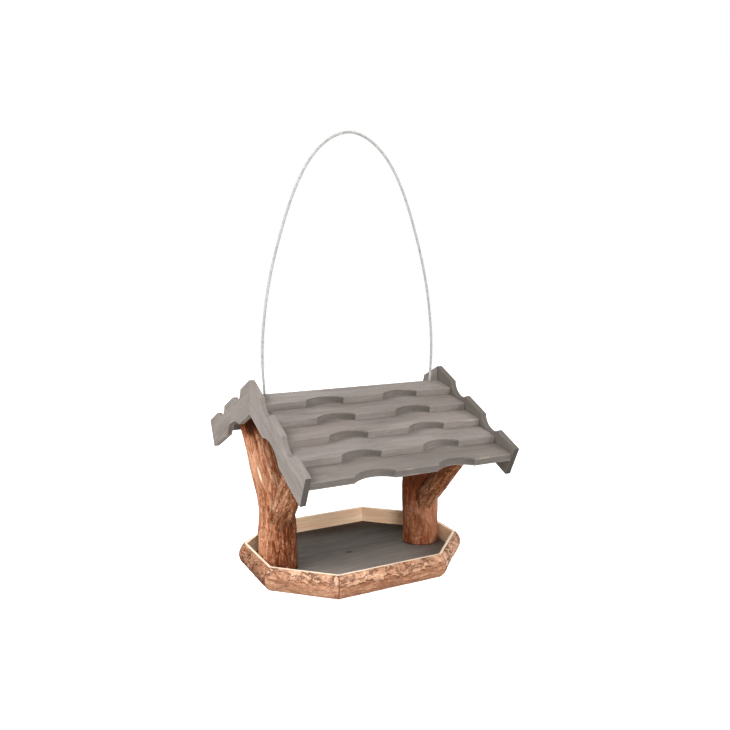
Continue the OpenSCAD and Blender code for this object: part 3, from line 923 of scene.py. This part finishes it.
# Rates are repeats per flake, and rises are shares of the relief
SEED_ACROSS = 1.7
SEED_ALONG = 0.6
WARP_RATE = 0.8
WARP = 0.45
LAYER_SPREAD = 0.62
LAYER_ROUGHNESS = 0.8
LAYER_RATIO = 2.1
LAYER_OCTAVES = 4
LIP_ABOVE = 0.8
LIP_BELOW = 0.14
SHEET_SLOPE = 0.2
SHEET_TINT = 0.12
TINT_RATE = 0.7
TINT_SHIFT = 5.1
THREAD_ACROSS = 3.1
THREAD_ALONG = 0.8
THREAD_RISE = 0.3
FISSURE_ACROSS = 1.15
FISSURE_ALONG = 0.3
FISSURE_WIDTH = 0.1
FISSURE_DEPTH = 0.9
BREAK_RATE = 0.45
BREAK_SHIFT = Vector((3.3, 0, 0))
BREAK_LOW = -0.25
BREAK_HIGH = 0.2
GRIT_RATE = 7.0
GRIT_RISE = 0.12
# Looks of bark: flake size, length to width, layers, fibres and darkness of lips, which is painted shadow at
# the edges of layers; a seed follows
LOG_LOOK = (12 * MM, 4.0, 3, 0.7, 0.5)
BRANCH_LOOK = (10 * MM, 3.2, 4, 0.7, 0.55)
RIM_LOOK = (14 * MM, 2.8, 4, 0.3, 0.8)


def soft_step(value, low, high):
    share = min(1.0, max(0.0, (value - low) / (high - low)))
    return share * share * (3 - 2 * share)


def bark_at(place, look):
    """Height of the bark; darkness of its cracks, with painted shadow at the edges of its layers; and the
    tint of its sheet, at a place (across, across, along).
    """
    size, longer, layers, fibres, lips, seed = look
    shift = Vector((seed, seed * SEED_ACROSS, seed * SEED_ALONG))
    spot = Vector((place[0], place[1], place[2] / longer)) / size + shift
    spot += noise.noise_vector(spot * WARP_RATE) * WARP
    level = noise.fractal(spot, LAYER_ROUGHNESS, LAYER_RATIO, LAYER_OCTAVES)
    level = layers * (0.5 + LAYER_SPREAD * level)
    sheet = math.floor(level)
    inside = level - sheet
    # Lips at the edges of layers are darkened as painted shadow
    lip = max(soft_step(inside, LIP_ABOVE, 1.0), 1 - soft_step(inside, 0.0, LIP_BELOW))
    tint = 0.5 + 0.5 * noise.noise(spot * TINT_RATE + Vector((sheet * TINT_SHIFT, 0, 0)))
    tint += SHEET_TINT * (sheet - layers / 2)
    thread = noise.noise(Vector((spot.x * THREAD_ACROSS, spot.y * THREAD_ACROSS, spot.z * THREAD_ALONG)))
    long_spot = Vector((spot.x * FISSURE_ACROSS, spot.y * FISSURE_ACROSS, spot.z * FISSURE_ALONG))
    fissure = 1 - soft_step(abs(noise.noise(long_spot)), 0.0, FISSURE_WIDTH)
    fissure *= soft_step(noise.noise(spot * BREAK_RATE + BREAK_SHIFT), BREAK_LOW, BREAK_HIGH) * fibres
    height = (sheet + soft_step(inside, 0.0, SHEET_SLOPE)) / layers
    height += thread * THREAD_RISE * fibres - FISSURE_DEPTH * fissure
    height += noise.noise(spot * GRIT_RATE) * GRIT_RISE
    return height, max(lips * lip, fissure), tint


# Logs: two trunks on the floor board, and a branch on the front of each
LOG_REACH = 330 * MM
ARM_LEAN = 39
ARM_Z = 103 * MM
ARM_R = 24 * MM
ARM_BEND = 26 * MM
ARM_TAPER_Z = 70 * MM
ARM_TAPER_L = 70 * MM
LEFT_BRANCH_R = 18 * MM
LEFT_BRANCH_Z = 73 * MM
LEFT_BRANCH_LEAN = -37
RIGHT_BRANCH_R = 16 * MM
RIGHT_BRANCH_Z = 68 * MM
RIGHT_BRANCH_LEAN = -44
TRUNK_UNDER_BARK = 0.6 * MM
BRANCH_UNDER_BARK = 0.4 * MM
FOOT_Z = FLOOR_TOP - 0.4 * MM
SINK = 2.5 * MM
LOG_STEP = 1.0 * MM
END_STEP = 0.5 * MM
LOG_SHARP = 75
LUMPS = 1.6 * MM
LUMP_RATE = 16
# Painted shade where a log meets another or the floor
JOINT_REACH = 2.6 * MM
FOOT_REACH = 2.2 * MM
LEFT_JOINT = 0.42
RIGHT_JOINT = 0.65
# Front side of the logs, where their bark is worn calm and carries painted light and shade, with a ragged
# edge
WEATHER_TURN = math.radians(236)
WEATHER_RAGGED = 1.2
RAGGED_STEEP = 3
CALM_REACH = 45 * MM
CALM_MOST = 0.7
CALM_LIGHT = 0.6
SUN_CALM = 2
# Marks: millimetres along, degrees round, half length, half width, depth, and darkness, or pale below 0
# The last left mark and the last right mark are painted shadows under the roof, and the first right mark's
# darkness is painted shade in its groove beside the branch
LEFT_MARKS = [(196, 236, 26, 2.8, 2.6, 0.55), (146, 218, 13, 2.0, 0.3, -1.0), (69, 258, 3.0, 7, 1.8, 0.7),
              (66, 231, 20, 1.2, 1.0, 0.7), (226, 224, 18, 15, 0, 0.8)]
RIGHT_MARKS = [(86, 238, 24, 8, 1.5, 0.85), (116, 226, 26, 24, 0, 0.6)]


def underside(distance):
    """Height of the roof's underside at a distance from the ridge plane."""
    lowest = np.full(np.shape(distance), np.inf)
    for row in range(1, ROWS + 1):
        edge_y, edge_z = row_edge(row)
        up = (edge_y - distance) / math.cos(BOARD_PITCH)
        there = (up >= 0) & (up <= row_width(row))
        lowest = np.where(there, np.minimum(lowest, edge_z + up * math.sin(BOARD_PITCH)), lowest)
    return lowest


class LogAxis:
    """The middle line of a log in an upright plane along Y: its points, its way ahead and its radius."""

    def __init__(self, x, route, radius):
        route = np.asarray(route, float)
        step = np.linalg.norm(np.diff(route, axis=0), axis=1)
        self.length = np.concatenate([[0], np.cumsum(step)])
        self.x = x
        self.route = route
        self.radius = np.broadcast_to(radius, len(route))
        ahead = np.gradient(route, axis=0)
        self.ahead = ahead / np.linalg.norm(ahead, axis=1)[:, None]

    def surface(self, along, turn, rise=0.0):
        """Points on the log at distances along it and turns round it."""
        middle_y, middle_z = (np.interp(along, self.length, self.route[:, k]) for k in (0, 1))
        ahead_y, ahead_z = (np.interp(along, self.length, self.ahead[:, k]) for k in (0, 1))
        out = np.interp(along, self.length, self.radius) + rise
        side = out * np.sin(turn)
        x = self.x + out * np.cos(turn)
        return np.stack([x, middle_y + side * ahead_z, middle_z - side * ahead_y], axis=-1)

    def depth(self, points):
        """How far points lie outside the log; less than nothing inside it."""
        every = 4
        best = np.full(points.shape[:-1], np.inf)
        for (y, z), radius in zip(self.route[::every], self.radius[::every]):
            best = np.minimum(best, np.linalg.norm(points - (self.x, y, z), axis=-1) - radius)
        return best


def straight_route(z, lean, length, start=0.0):
    """Points of a middle line from a height on the post's own middle line, leaning by degrees to the back."""
    way = np.array([math.sin(math.radians(lean)), math.cos(math.radians(lean))])
    return np.array([0, z]) + np.arange(start, length, 1 * MM)[:, None] * way


def bent_route(foot, bend_z, lean, bend, length):
    """A middle line that stands upright and then leans back, with a round bend."""
    upright_points = 200
    bend_points = 60
    leaning = straight_route(bend_z, lean, length, bend)
    heights = np.linspace(foot, bend_z - bend, upright_points)
    upright = np.stack([np.zeros(upright_points), heights], axis=-1)
    t = np.linspace(0, 1, bend_points)[1:-1, None]
    corner = np.array([0, bend_z])
    arc = (1 - t) ** 2 * upright[-1] + 2 * t * (1 - t) * corner + t ** 2 * leaning[0]
    return np.vstack([upright, arc, leaning])


def log_marks(at, turns, radius, marks):
    """How far marks sink the bark, and how dark and how pale they make it."""
    sink, dark, pale = np.zeros((3, *at.shape))
    for along, turn, half_long, half_wide, depth, darkness in marks:
        round_it = (turns - math.radians(turn) + math.pi) % (2 * math.pi) - math.pi
        away = ((at - along * MM) / (half_long * MM)) ** 2 + (round_it * radius / (half_wide * MM)) ** 2
        share = np.exp(-away ** 2)
        sink = np.maximum(sink, share * depth * MM)
        dark = np.maximum(dark, share * darkness)
        pale = np.maximum(pale, share * -darkness)
    return sink, dark, pale


def log_weather(at, turns, tint, calm_from=None, sunny=(0, 0), dusk=(1, 1, 0), ruddy=0.0):
    """How calm a log's front side is, and how much painted light, painted shade and warm painted shade it
    carries.

    Bark is calm from a place along the log, and calmer on the side painted lighter. Sunny is the turn in
    degrees of the side painted lighter, and its strength, and dusk is where painted shade starts towards the
    roof, over what length it grows and how much.
    """
    facing = np.cos(turns - WEATHER_TURN)
    ragged = WEATHER_RAGGED * (tint - 0.5) * np.clip(-facing * RAGGED_STEEP, 0, 1)
    weathered = np.clip(1 + facing + ragged, 0, 1)
    sun_turn, sun = sunny
    dusk_from, dusk_reach, dim = dusk
    lit = np.cos(turns - math.radians(sun_turn)) * sun
    light = lit - dim * np.clip((at - dusk_from) / dusk_reach, 0, 1)
    calm = np.zeros(at.shape)
    if calm_from is not None:
        calm = np.clip((at - calm_from) / CALM_REACH, 0, 1) * CALM_MOST
    calm = np.maximum(calm, SUN_CALM * np.clip(lit, 0, 1))
    return calm * weathered, light * weathered, ruddy * weathered


def log_ends(axis, turn, host):
    """Where the bark starts and stops along a log, for turns round it."""
    along = np.arange(0, axis.length[-1], END_STEP)
    reach = axis.surface(along[:, None], turn[None, :])
    over = reach[..., 2] > underside(np.abs(reach[..., 1])) + SINK
    start = np.zeros(len(turn))
    if host is not None:
        start = along[np.argmax(host.depth(reach) > -SINK, axis=0)]
    return start, along[np.argmax(over, axis=0)]


def bark_log(node, axis, look, relief, beside, joint, host=None, marks=(), bark=LOG_BARK, **weather):
    """A log with bark, from the floor or its host log up to the roof, with painted shade at the log beside it
    and, for a trunk, at its foot.
    """
    around = int(2 * math.pi * axis.radius.max() / LOG_STEP)
    turn = np.arange(around) * 2 * math.pi / around
    start, stop = log_ends(axis, turn, host)
    rows = int((stop - start).max() / LOG_STEP)
    at = start + np.linspace(0, 1, rows)[:, None] * (stop - start)
    turns = np.broadcast_to(turn, at.shape)

    # Relief
    base = axis.radius[0]
    places = np.stack([base * np.cos(turns), base * np.sin(turns), at], axis=-1).reshape(-1, 3)
    height, crack, tint = np.array([bark_at(p, look) for p in places]).T.reshape(3, *at.shape)
    shift = Vector((look[-1], 0, 0))
    swell = np.array([noise.noise(Vector(p) * LUMP_RATE + shift) for p in places]).reshape(at.shape)
    sink, dark, pale = log_marks(at, turns, base, marks)
    points = axis.surface(at, turns, height * relief + swell * LUMPS - sink)
    piece = new_piece("bark_" + node, points, capped_tube(rows, around), [bark], LOG_SHARP)

    # Wear, with painted light and shade: a lit side, shade towards the roof and in marks, at the joint and at
    # the foot
    calm, light, ruddy = log_weather(at, turns, tint, **weather)
    meets = np.exp(-(np.clip(beside.depth(points), 0, None) / JOINT_REACH) ** 2) * joint
    foot = np.exp(-(at / FOOT_REACH) ** 2) * (host is None)
    dark = np.maximum(dark, np.maximum(meets, foot))
    # Cracks here also carry painted shadow at layer edges and painted shade from marks, the joint and the
    # foot; the flake tone carries painted light and shade, with warm painted shade beside it
    give_grain(piece, places[:, [2, 0, 1]])
    give(piece, "crack", np.maximum(crack * (1 - calm), dark))
    give(piece, "flake", tint + CALM_LIGHT * calm + light)
    give(piece, "calm", calm)
    give(piece, "rub", pale)
    give(piece, "ruddy", ruddy)
    settle(piece, "log_bark", node)


trunk_r = POST_R - TRUNK_UNDER_BARK
left_route = bent_route(FOOT_Z, ARM_Z, ARM_LEAN, ARM_BEND, LOG_REACH)
left_taper = np.clip((left_route[:, 1] - ARM_TAPER_Z) / ARM_TAPER_L, 0, 1)
left_branch_route = straight_route(LEFT_BRANCH_Z, LEFT_BRANCH_LEAN, LOG_REACH)
right_branch_route = straight_route(RIGHT_BRANCH_Z, RIGHT_BRANCH_LEAN, LOG_REACH)
left_trunk = LogAxis(-POST_X, left_route, trunk_r - (POST_R - ARM_R) * left_taper)
right_trunk = LogAxis(POST_X, straight_route(FOOT_Z, 0, LOG_REACH), trunk_r)
left_branch = LogAxis(-POST_X, left_branch_route, LEFT_BRANCH_R - BRANCH_UNDER_BARK)
right_branch = LogAxis(POST_X, right_branch_route, RIGHT_BRANCH_R - BRANCH_UNDER_BARK)

bark_log("trunk_left", left_trunk, (*LOG_LOOK, 3.1), relief=1.5 * MM, beside=left_branch, joint=LEFT_JOINT,
         marks=LEFT_MARKS, calm_from=95 * MM, sunny=(165, 0.25), dusk=(205 * MM, 30 * MM, 1.0))
bark_log("trunk_right", right_trunk, (*LOG_LOOK, 8.4), relief=1.4 * MM, beside=right_branch,
         joint=RIGHT_JOINT, marks=RIGHT_MARKS, calm_from=-20 * MM, sunny=(300, 0.3),
         dusk=(62 * MM, 50 * MM, 1.7), ruddy=0.42)
bark_log("branch_left", left_branch, (*BRANCH_LOOK, 5.7), relief=1.5 * MM, beside=left_trunk,
         joint=LEFT_JOINT, host=left_trunk, bark=BRANCH_BARK, sunny=(165, 0.05))
bark_log("branch_right", right_branch, (*BRANCH_LOOK, 12.9), relief=1.5 * MM, beside=right_trunk,
         joint=RIGHT_JOINT, host=right_trunk, bark=BRANCH_BARK, calm_from=-100 * MM,
         dusk=(30 * MM, 70 * MM, 0.9))

# Rim: slabs with bark outside, and planed pine inside and along the edges
RIM_EDGE = 4 * MM
RIM_ROUND = 0.3 * MM
RIM_FOOT = 0.2 * MM
RIM_BULGE = 9 * MM
RIM_R = (RIM_H ** 2 / 4 + RIM_BULGE ** 2) / (2 * RIM_BULGE)
RIM_SHARP = 50
INNER_SHARES = np.linspace(0.1, 0.9, 7)
ARC_POINTS = 46
ARC_HALF = math.asin(RIM_H / 2 / RIM_R)
ARC_TURN = np.linspace(ARC_HALF, -ARC_HALF, ARC_POINTS)
EDGE_POINTS = 3
EDGE_RELIEF = 0.3
FLOOR_SIDE = 171 * MM
FLOOR_END = 106 * MM
SEAM = 0.15 * MM
CORNERS = np.array([(-FLOOR_SIDE / 2, -FLOOR_Y), (FLOOR_SIDE / 2, -FLOOR_Y), (FLOOR_X, -FLOOR_END / 2),
                    (FLOOR_X, FLOOR_END / 2), (FLOOR_SIDE / 2, FLOOR_Y), (-FLOOR_SIDE / 2, FLOOR_Y),
                    (-FLOOR_X, FLOOR_END / 2), (-FLOOR_X, -FLOOR_END / 2)])
SIDES = len(CORNERS)
# Top plate of the bark, with a torn lower edge and a painted shadow line under it
PLATE_RISE = 1.3 * MM
PLATE_LINE = 1.1 * MM
PLATE_MIDDLE = 0.7
PLATE_STIRRED = 0.75
LINE_BELOW = 0.6
EDGE_RATE = 26
EDGE_LEVEL = 0.3
FINE_RATE = 9
TORN_RATE = 75
TORN_LEVEL = 0.7
TORN_SHAKE = 5
OPEN_RATE = 3.1
OPEN_SHIFT = Vector((0, 4.4, 0))
OPEN_LOW = -0.5
OPEN_HIGH = 0.1
EDGE_WANDER = 5 * MM
TORN_WANDER = 4 * MM
FINE_WANDER = 1.6 * MM
# Bark sinks to the mitres
MITRE_FADE = 6 * MM
MITRE_ROUND = 1.6 * MM
MITRE_DROP = 0.9 * MM
# Below the plate, cracks are weaker towards the foot
SMOOTH_FROM = 0.25
SMOOTH_REACH = 0.5
SMOOTH_LEAST = 0.35
# Slabs round the tray: relief in millimetres, darkness of cracks and of painted shadow, lightness, plate
# height, smoothness below
RIM_SLABS = {"rim_front": (1.6, 1.0, 0.1, 0.64, 0.8), "rim_front_right": (1.9, 1.3, 0.5, 0.4, 0.0),
             "rim_right": (2.2, 0.95, 1.3, 0.5, 0.2), "rim_back_right": (1.8, 0.9, 0.0, 0.4, 0.5),
             "rim_back": (1.9, 1.0, 0.0, 0.55, 0.8), "rim_back_left": (2.0, 1.1, -0.1, 0.6, 0.4),
             "rim_left": (2.3, 1.6, -0.9, 0.5, 0.0), "rim_front_left": (1.4, 0.75, 0.5, 0.76, 0.45)}
RIM_SEED = 4.3
RIM_SEED_STEP = 2.9


def side_along(k):
    way = CORNERS[(k + 1) % SIDES] - CORNERS[k % SIDES]
    return way / np.linalg.norm(way)


def side_out(k):
    way = side_along(k)
    return np.array([way[1], -way[0]])


def mitre(k):
    """The line between two sides at their shared corner, one unit out from each."""
    before = side_out(k - 1)
    after = side_out(k)
    return (before + after) / (1 + before @ after)


def rim_profile():
    """Points round a slab, as distances out and up, and the number of the first point of its bark face."""
    arc_out = RIM_EDGE + RIM_BULGE - RIM_R + RIM_R * np.cos(ARC_TURN)
    arc_up = RIM_H / 2 + RIM_R * np.sin(ARC_TURN)
    inner = [(0, RIM_FOOT), (0, EDGE_BAND)]
    inner += [(0, share * RIM_H) for share in INNER_SHARES]
    inner += [(0, RIM_H - EDGE_BAND), (0, RIM_H - RIM_ROUND), (RIM_ROUND, RIM_H), (RIM_EDGE / 2, RIM_H)]
    lower = [(RIM_EDGE / 2, 0), (RIM_FOOT, 0)]
    return np.vstack([inner, np.stack([arc_out, arc_up], axis=-1), lower]), len(inner)


RIM_PROFILE, BARK_FIRST = rim_profile()
BARK_LAST = BARK_FIRST + ARC_POINTS
RIM_OUT, RIM_UP = RIM_PROFILE.T


def on_bark(values):
    """Values for the points of the bark face, and 0 for the others of the profile."""
    profile_values = np.zeros(len(RIM_PROFILE))
    profile_values[BARK_FIRST:BARK_LAST] = values
    return profile_values


ARC_PLACE = on_bark(RIM_R * ARC_TURN)
from_edge = np.minimum(np.arange(ARC_POINTS), np.arange(ARC_POINTS)[::-1])
RISE_SHARE = on_bark(np.clip(from_edge / EDGE_POINTS, EDGE_RELIEF, 1))
RISE_OUT = on_bark(np.cos(ARC_TURN))
RISE_UP = on_bark(np.sin(ARC_TURN))
TOP_EDGE = np.zeros(len(RIM_PROFILE))
TOP_EDGE[BARK_FIRST - EDGE_POINTS:BARK_FIRST + 1] = 1


def plate_edge(along, seed):
    """How far the lower edge of the top plate wanders up and down along a slab, and how open it is."""
    spot = Vector((along * EDGE_RATE, seed, EDGE_LEVEL))
    torn = noise.cell(Vector((along * TORN_RATE + noise.noise(spot * TORN_SHAKE), seed, TORN_LEVEL)))
    wander = noise.noise(spot) * EDGE_WANDER + torn * TORN_WANDER
    wander += noise.noise(spot * FINE_RATE) * FINE_WANDER
    return wander, soft_step(noise.noise(spot * OPEN_RATE + OPEN_SHIFT), OPEN_LOW, OPEN_HIGH)


def slab_bark(stations, length, look):
    """Height, cracks and tint of the bark over a slab; nothing on its other faces."""
    found = np.zeros((len(stations), len(RIM_PROFILE), 3))
    for i, share in enumerate(stations):
        for j in range(BARK_FIRST, BARK_LAST):
            found[i, j] = bark_at((ARC_PLACE[j], 0.0, share * length), look)
    return np.moveaxis(found, -1, 0)


def rim_slab(k, name, look, relief, cracked, lightness, plate, smooth):
    """One mitred slab, with the bark that its row in RIM_SLABS says."""
    start = CORNERS[k]
    way = side_along(k)
    length = np.linalg.norm(CORNERS[(k + 1) % SIDES] - start)
    stations = np.linspace(0, 1, int(length / LOG_STEP))
    height, crack, tint = slab_bark(stations, length, look)

    # Top plate, with a painted shadow line under it where it stands open
    edges, opens = np.array([plate_edge(share * length, look[-1]) for share in stations]).T[:, :, None]
    above = (RIM_UP - plate * RIM_H - edges) / PLATE_LINE
    plated = np.clip(above + 0.5, 0, 1)
    line = np.exp(-(above + LINE_BELOW) ** 2) * opens

    # Relief, sunk to the mitres
    from_end = np.minimum(stations, 1 - stations)[:, None] * length
    drop = np.clip(1 - from_end / MITRE_ROUND, 0, 1)
    rise = (height - 0.5) * relief + (plated - PLATE_MIDDLE) * PLATE_RISE
    rise = (rise * np.clip(from_end / MITRE_FADE, 0, 1) - drop * MITRE_DROP) * RISE_SHARE
    out = RIM_OUT + rise * RISE_OUT
    up = np.clip(RIM_UP + rise * RISE_UP, 0, RIM_H)
    low = out * (mitre(k) @ way) + SEAM
    high = length + out * (mitre(k + 1) @ way) - SEAM
    along = low + stations[:, None] * (high - low)
    flat = start + along[..., None] * way + out[..., None] * side_out(k)
    points = np.concatenate([flat, up[..., None]], axis=-1)
    tube = capped_tube(len(stations), len(RIM_PROFILE))
    piece = new_piece("bark_" + name, points, tube, [PALE_PINE, RIM_BARK], RIM_SHARP)

    # Pine, but for the bark face
    column = np.arange((len(stations) - 1) * len(RIM_PROFILE)) % len(RIM_PROFILE)
    bark_faces = np.zeros(len(piece.data.polygons), np.int32)
    bark_faces[:len(column)] = (column >= BARK_FIRST) & (column < BARK_LAST - 1)
    piece.data.polygons.foreach_set("material_index", bark_faces)

    # Wear, cracks, and painted shadow at the edges of layers and under the plate
    calm = smooth * (1 - PLATE_STIRRED * plated)
    upper = 1 - smooth * (1 - np.clip((RIM_UP / RIM_H - SMOOTH_FROM) / SMOOTH_REACH, SMOOTH_LEAST, 1))
    crack = np.maximum(crack * cracked * upper * (1 - calm), line * cracked)
    give_grain(piece, np.stack([along + look[-1], out + ARC_PLACE, up], axis=-1))
    give(piece, "edge", np.tile(TOP_EDGE, len(stations)))
    give(piece, "crack", np.maximum(crack, drop))
    give(piece, "flake", tint + lightness + plated - 0.5)
    give(piece, "calm", calm)
    settle(piece, "rim_slab", name)


for k, (name, (relief, *finish)) in enumerate(RIM_SLABS.items()):
    rim_slab(k, name, (*RIM_LOOK, RIM_SEED + RIM_SEED_STEP * k), relief * MM, *finish)


# Floor board, screws, brads and nails keep their CAD shapes
def dress(name, material):
    piece = frame["nodes"][name]
    piece.data.materials.clear()
    piece.data.materials.append(material)


dress("floor_board", FLOOR_STAIN)
for name in ("floor_screws", "branch_screws", "rim_brads", "gable_brads", "roof_nails"):
    dress(name, STEEL)

# Stage: a pale floor, white to the camera, and soft studio light
WHITE = (1.0, 1.0, 1.0, 1.0)
PAPER_GREY = (0.82, 0.82, 0.82, 1.0)
STAGE_HALF = 2.2
STAGE_DROP = 0.3 * MM
STAGE_GLOW = 0.86
WORLD_LIGHT = 0.06
LAMP_TARGET = Vector((0, 0, 0.2))
# Lamps: degrees round from the front, degrees up, metres away, metres wide, and watts
LAMPS = {"left": (-92, 41, 1.8, 0.8, 25), "left_front": (-55, 27, 2.0, 0.8, 13),
         "right_front": (45, 28, 2.0, 0.8, 21), "over_front": (-12, 43, 2.0, 0.6, 12),
         "low_front": (-16, 11, 2.2, 0.6, 21), "behind": (170, 31, 2.0, 1.2, 25)}


def camera_white(tree):
    """1 where the camera sees a surface itself, in a mirror or through glass."""
    path = outputs(new_node(tree, "LightPath"))
    return larger(larger(path["Is Camera Ray"], path["Is Glossy Ray"]), path["Is Transmission Ray"])


def make_stage():
    half = STAGE_HALF
    corners = [(-half, -half, 0), (half, -half, 0), (half, half, 0), (-half, half, 0)]
    mesh = bpy.data.meshes.new("stage_floor")
    mesh.from_pydata(corners, [], [(0, 1, 2, 3)])
    floor = bpy.data.objects.new("stage_floor", mesh)
    floor.location.z = -STAGE_DROP
    bpy.context.scene.collection.objects.link(floor)
    material = bpy.data.materials.new("stage_floor")
    material.use_nodes = True
    tree = material.node_tree
    tree.nodes.clear()
    paper = add(tree, "BsdfDiffuse", {"Color": PAPER_GREY})
    glow = add(tree, "Emission", {"Strength": camera_white(tree) * STAGE_GLOW})
    new_node(tree, "OutputMaterial", {"Surface": add(tree, "AddShader", {0: paper, 1: glow})})
    mesh.materials.append(material)


def make_world():
    world = bpy.data.worlds.new("studio")
    bpy.context.scene.world = world
    world.use_nodes = True
    tree = world.node_tree
    tree.nodes.clear()
    soft = add(tree, "Background", {"Color": WHITE, "Strength": WORLD_LIGHT})
    seen = add(tree, "Background", {"Color": WHITE, "Strength": 1.0})
    both = add(tree, "MixShader", {0: camera_white(tree), 1: soft, 2: seen})
    new_node(tree, "OutputWorld", {"Surface": both})


def soft_light(name, azimuth, elevation, distance, size, watts):
    """A square soft light that looks at the feeder."""
    data = bpy.data.lights.new(name, "AREA")
    data.size = size
    data.energy = watts
    aim(bpy.data.objects.new(name, data), LAMP_TARGET, way_to(azimuth, elevation), distance)


make_stage()
make_world()
for name, values in LAMPS.items():
    soft_light(name, *values)
bpy.context.scene.view_settings.view_transform = "Standard"
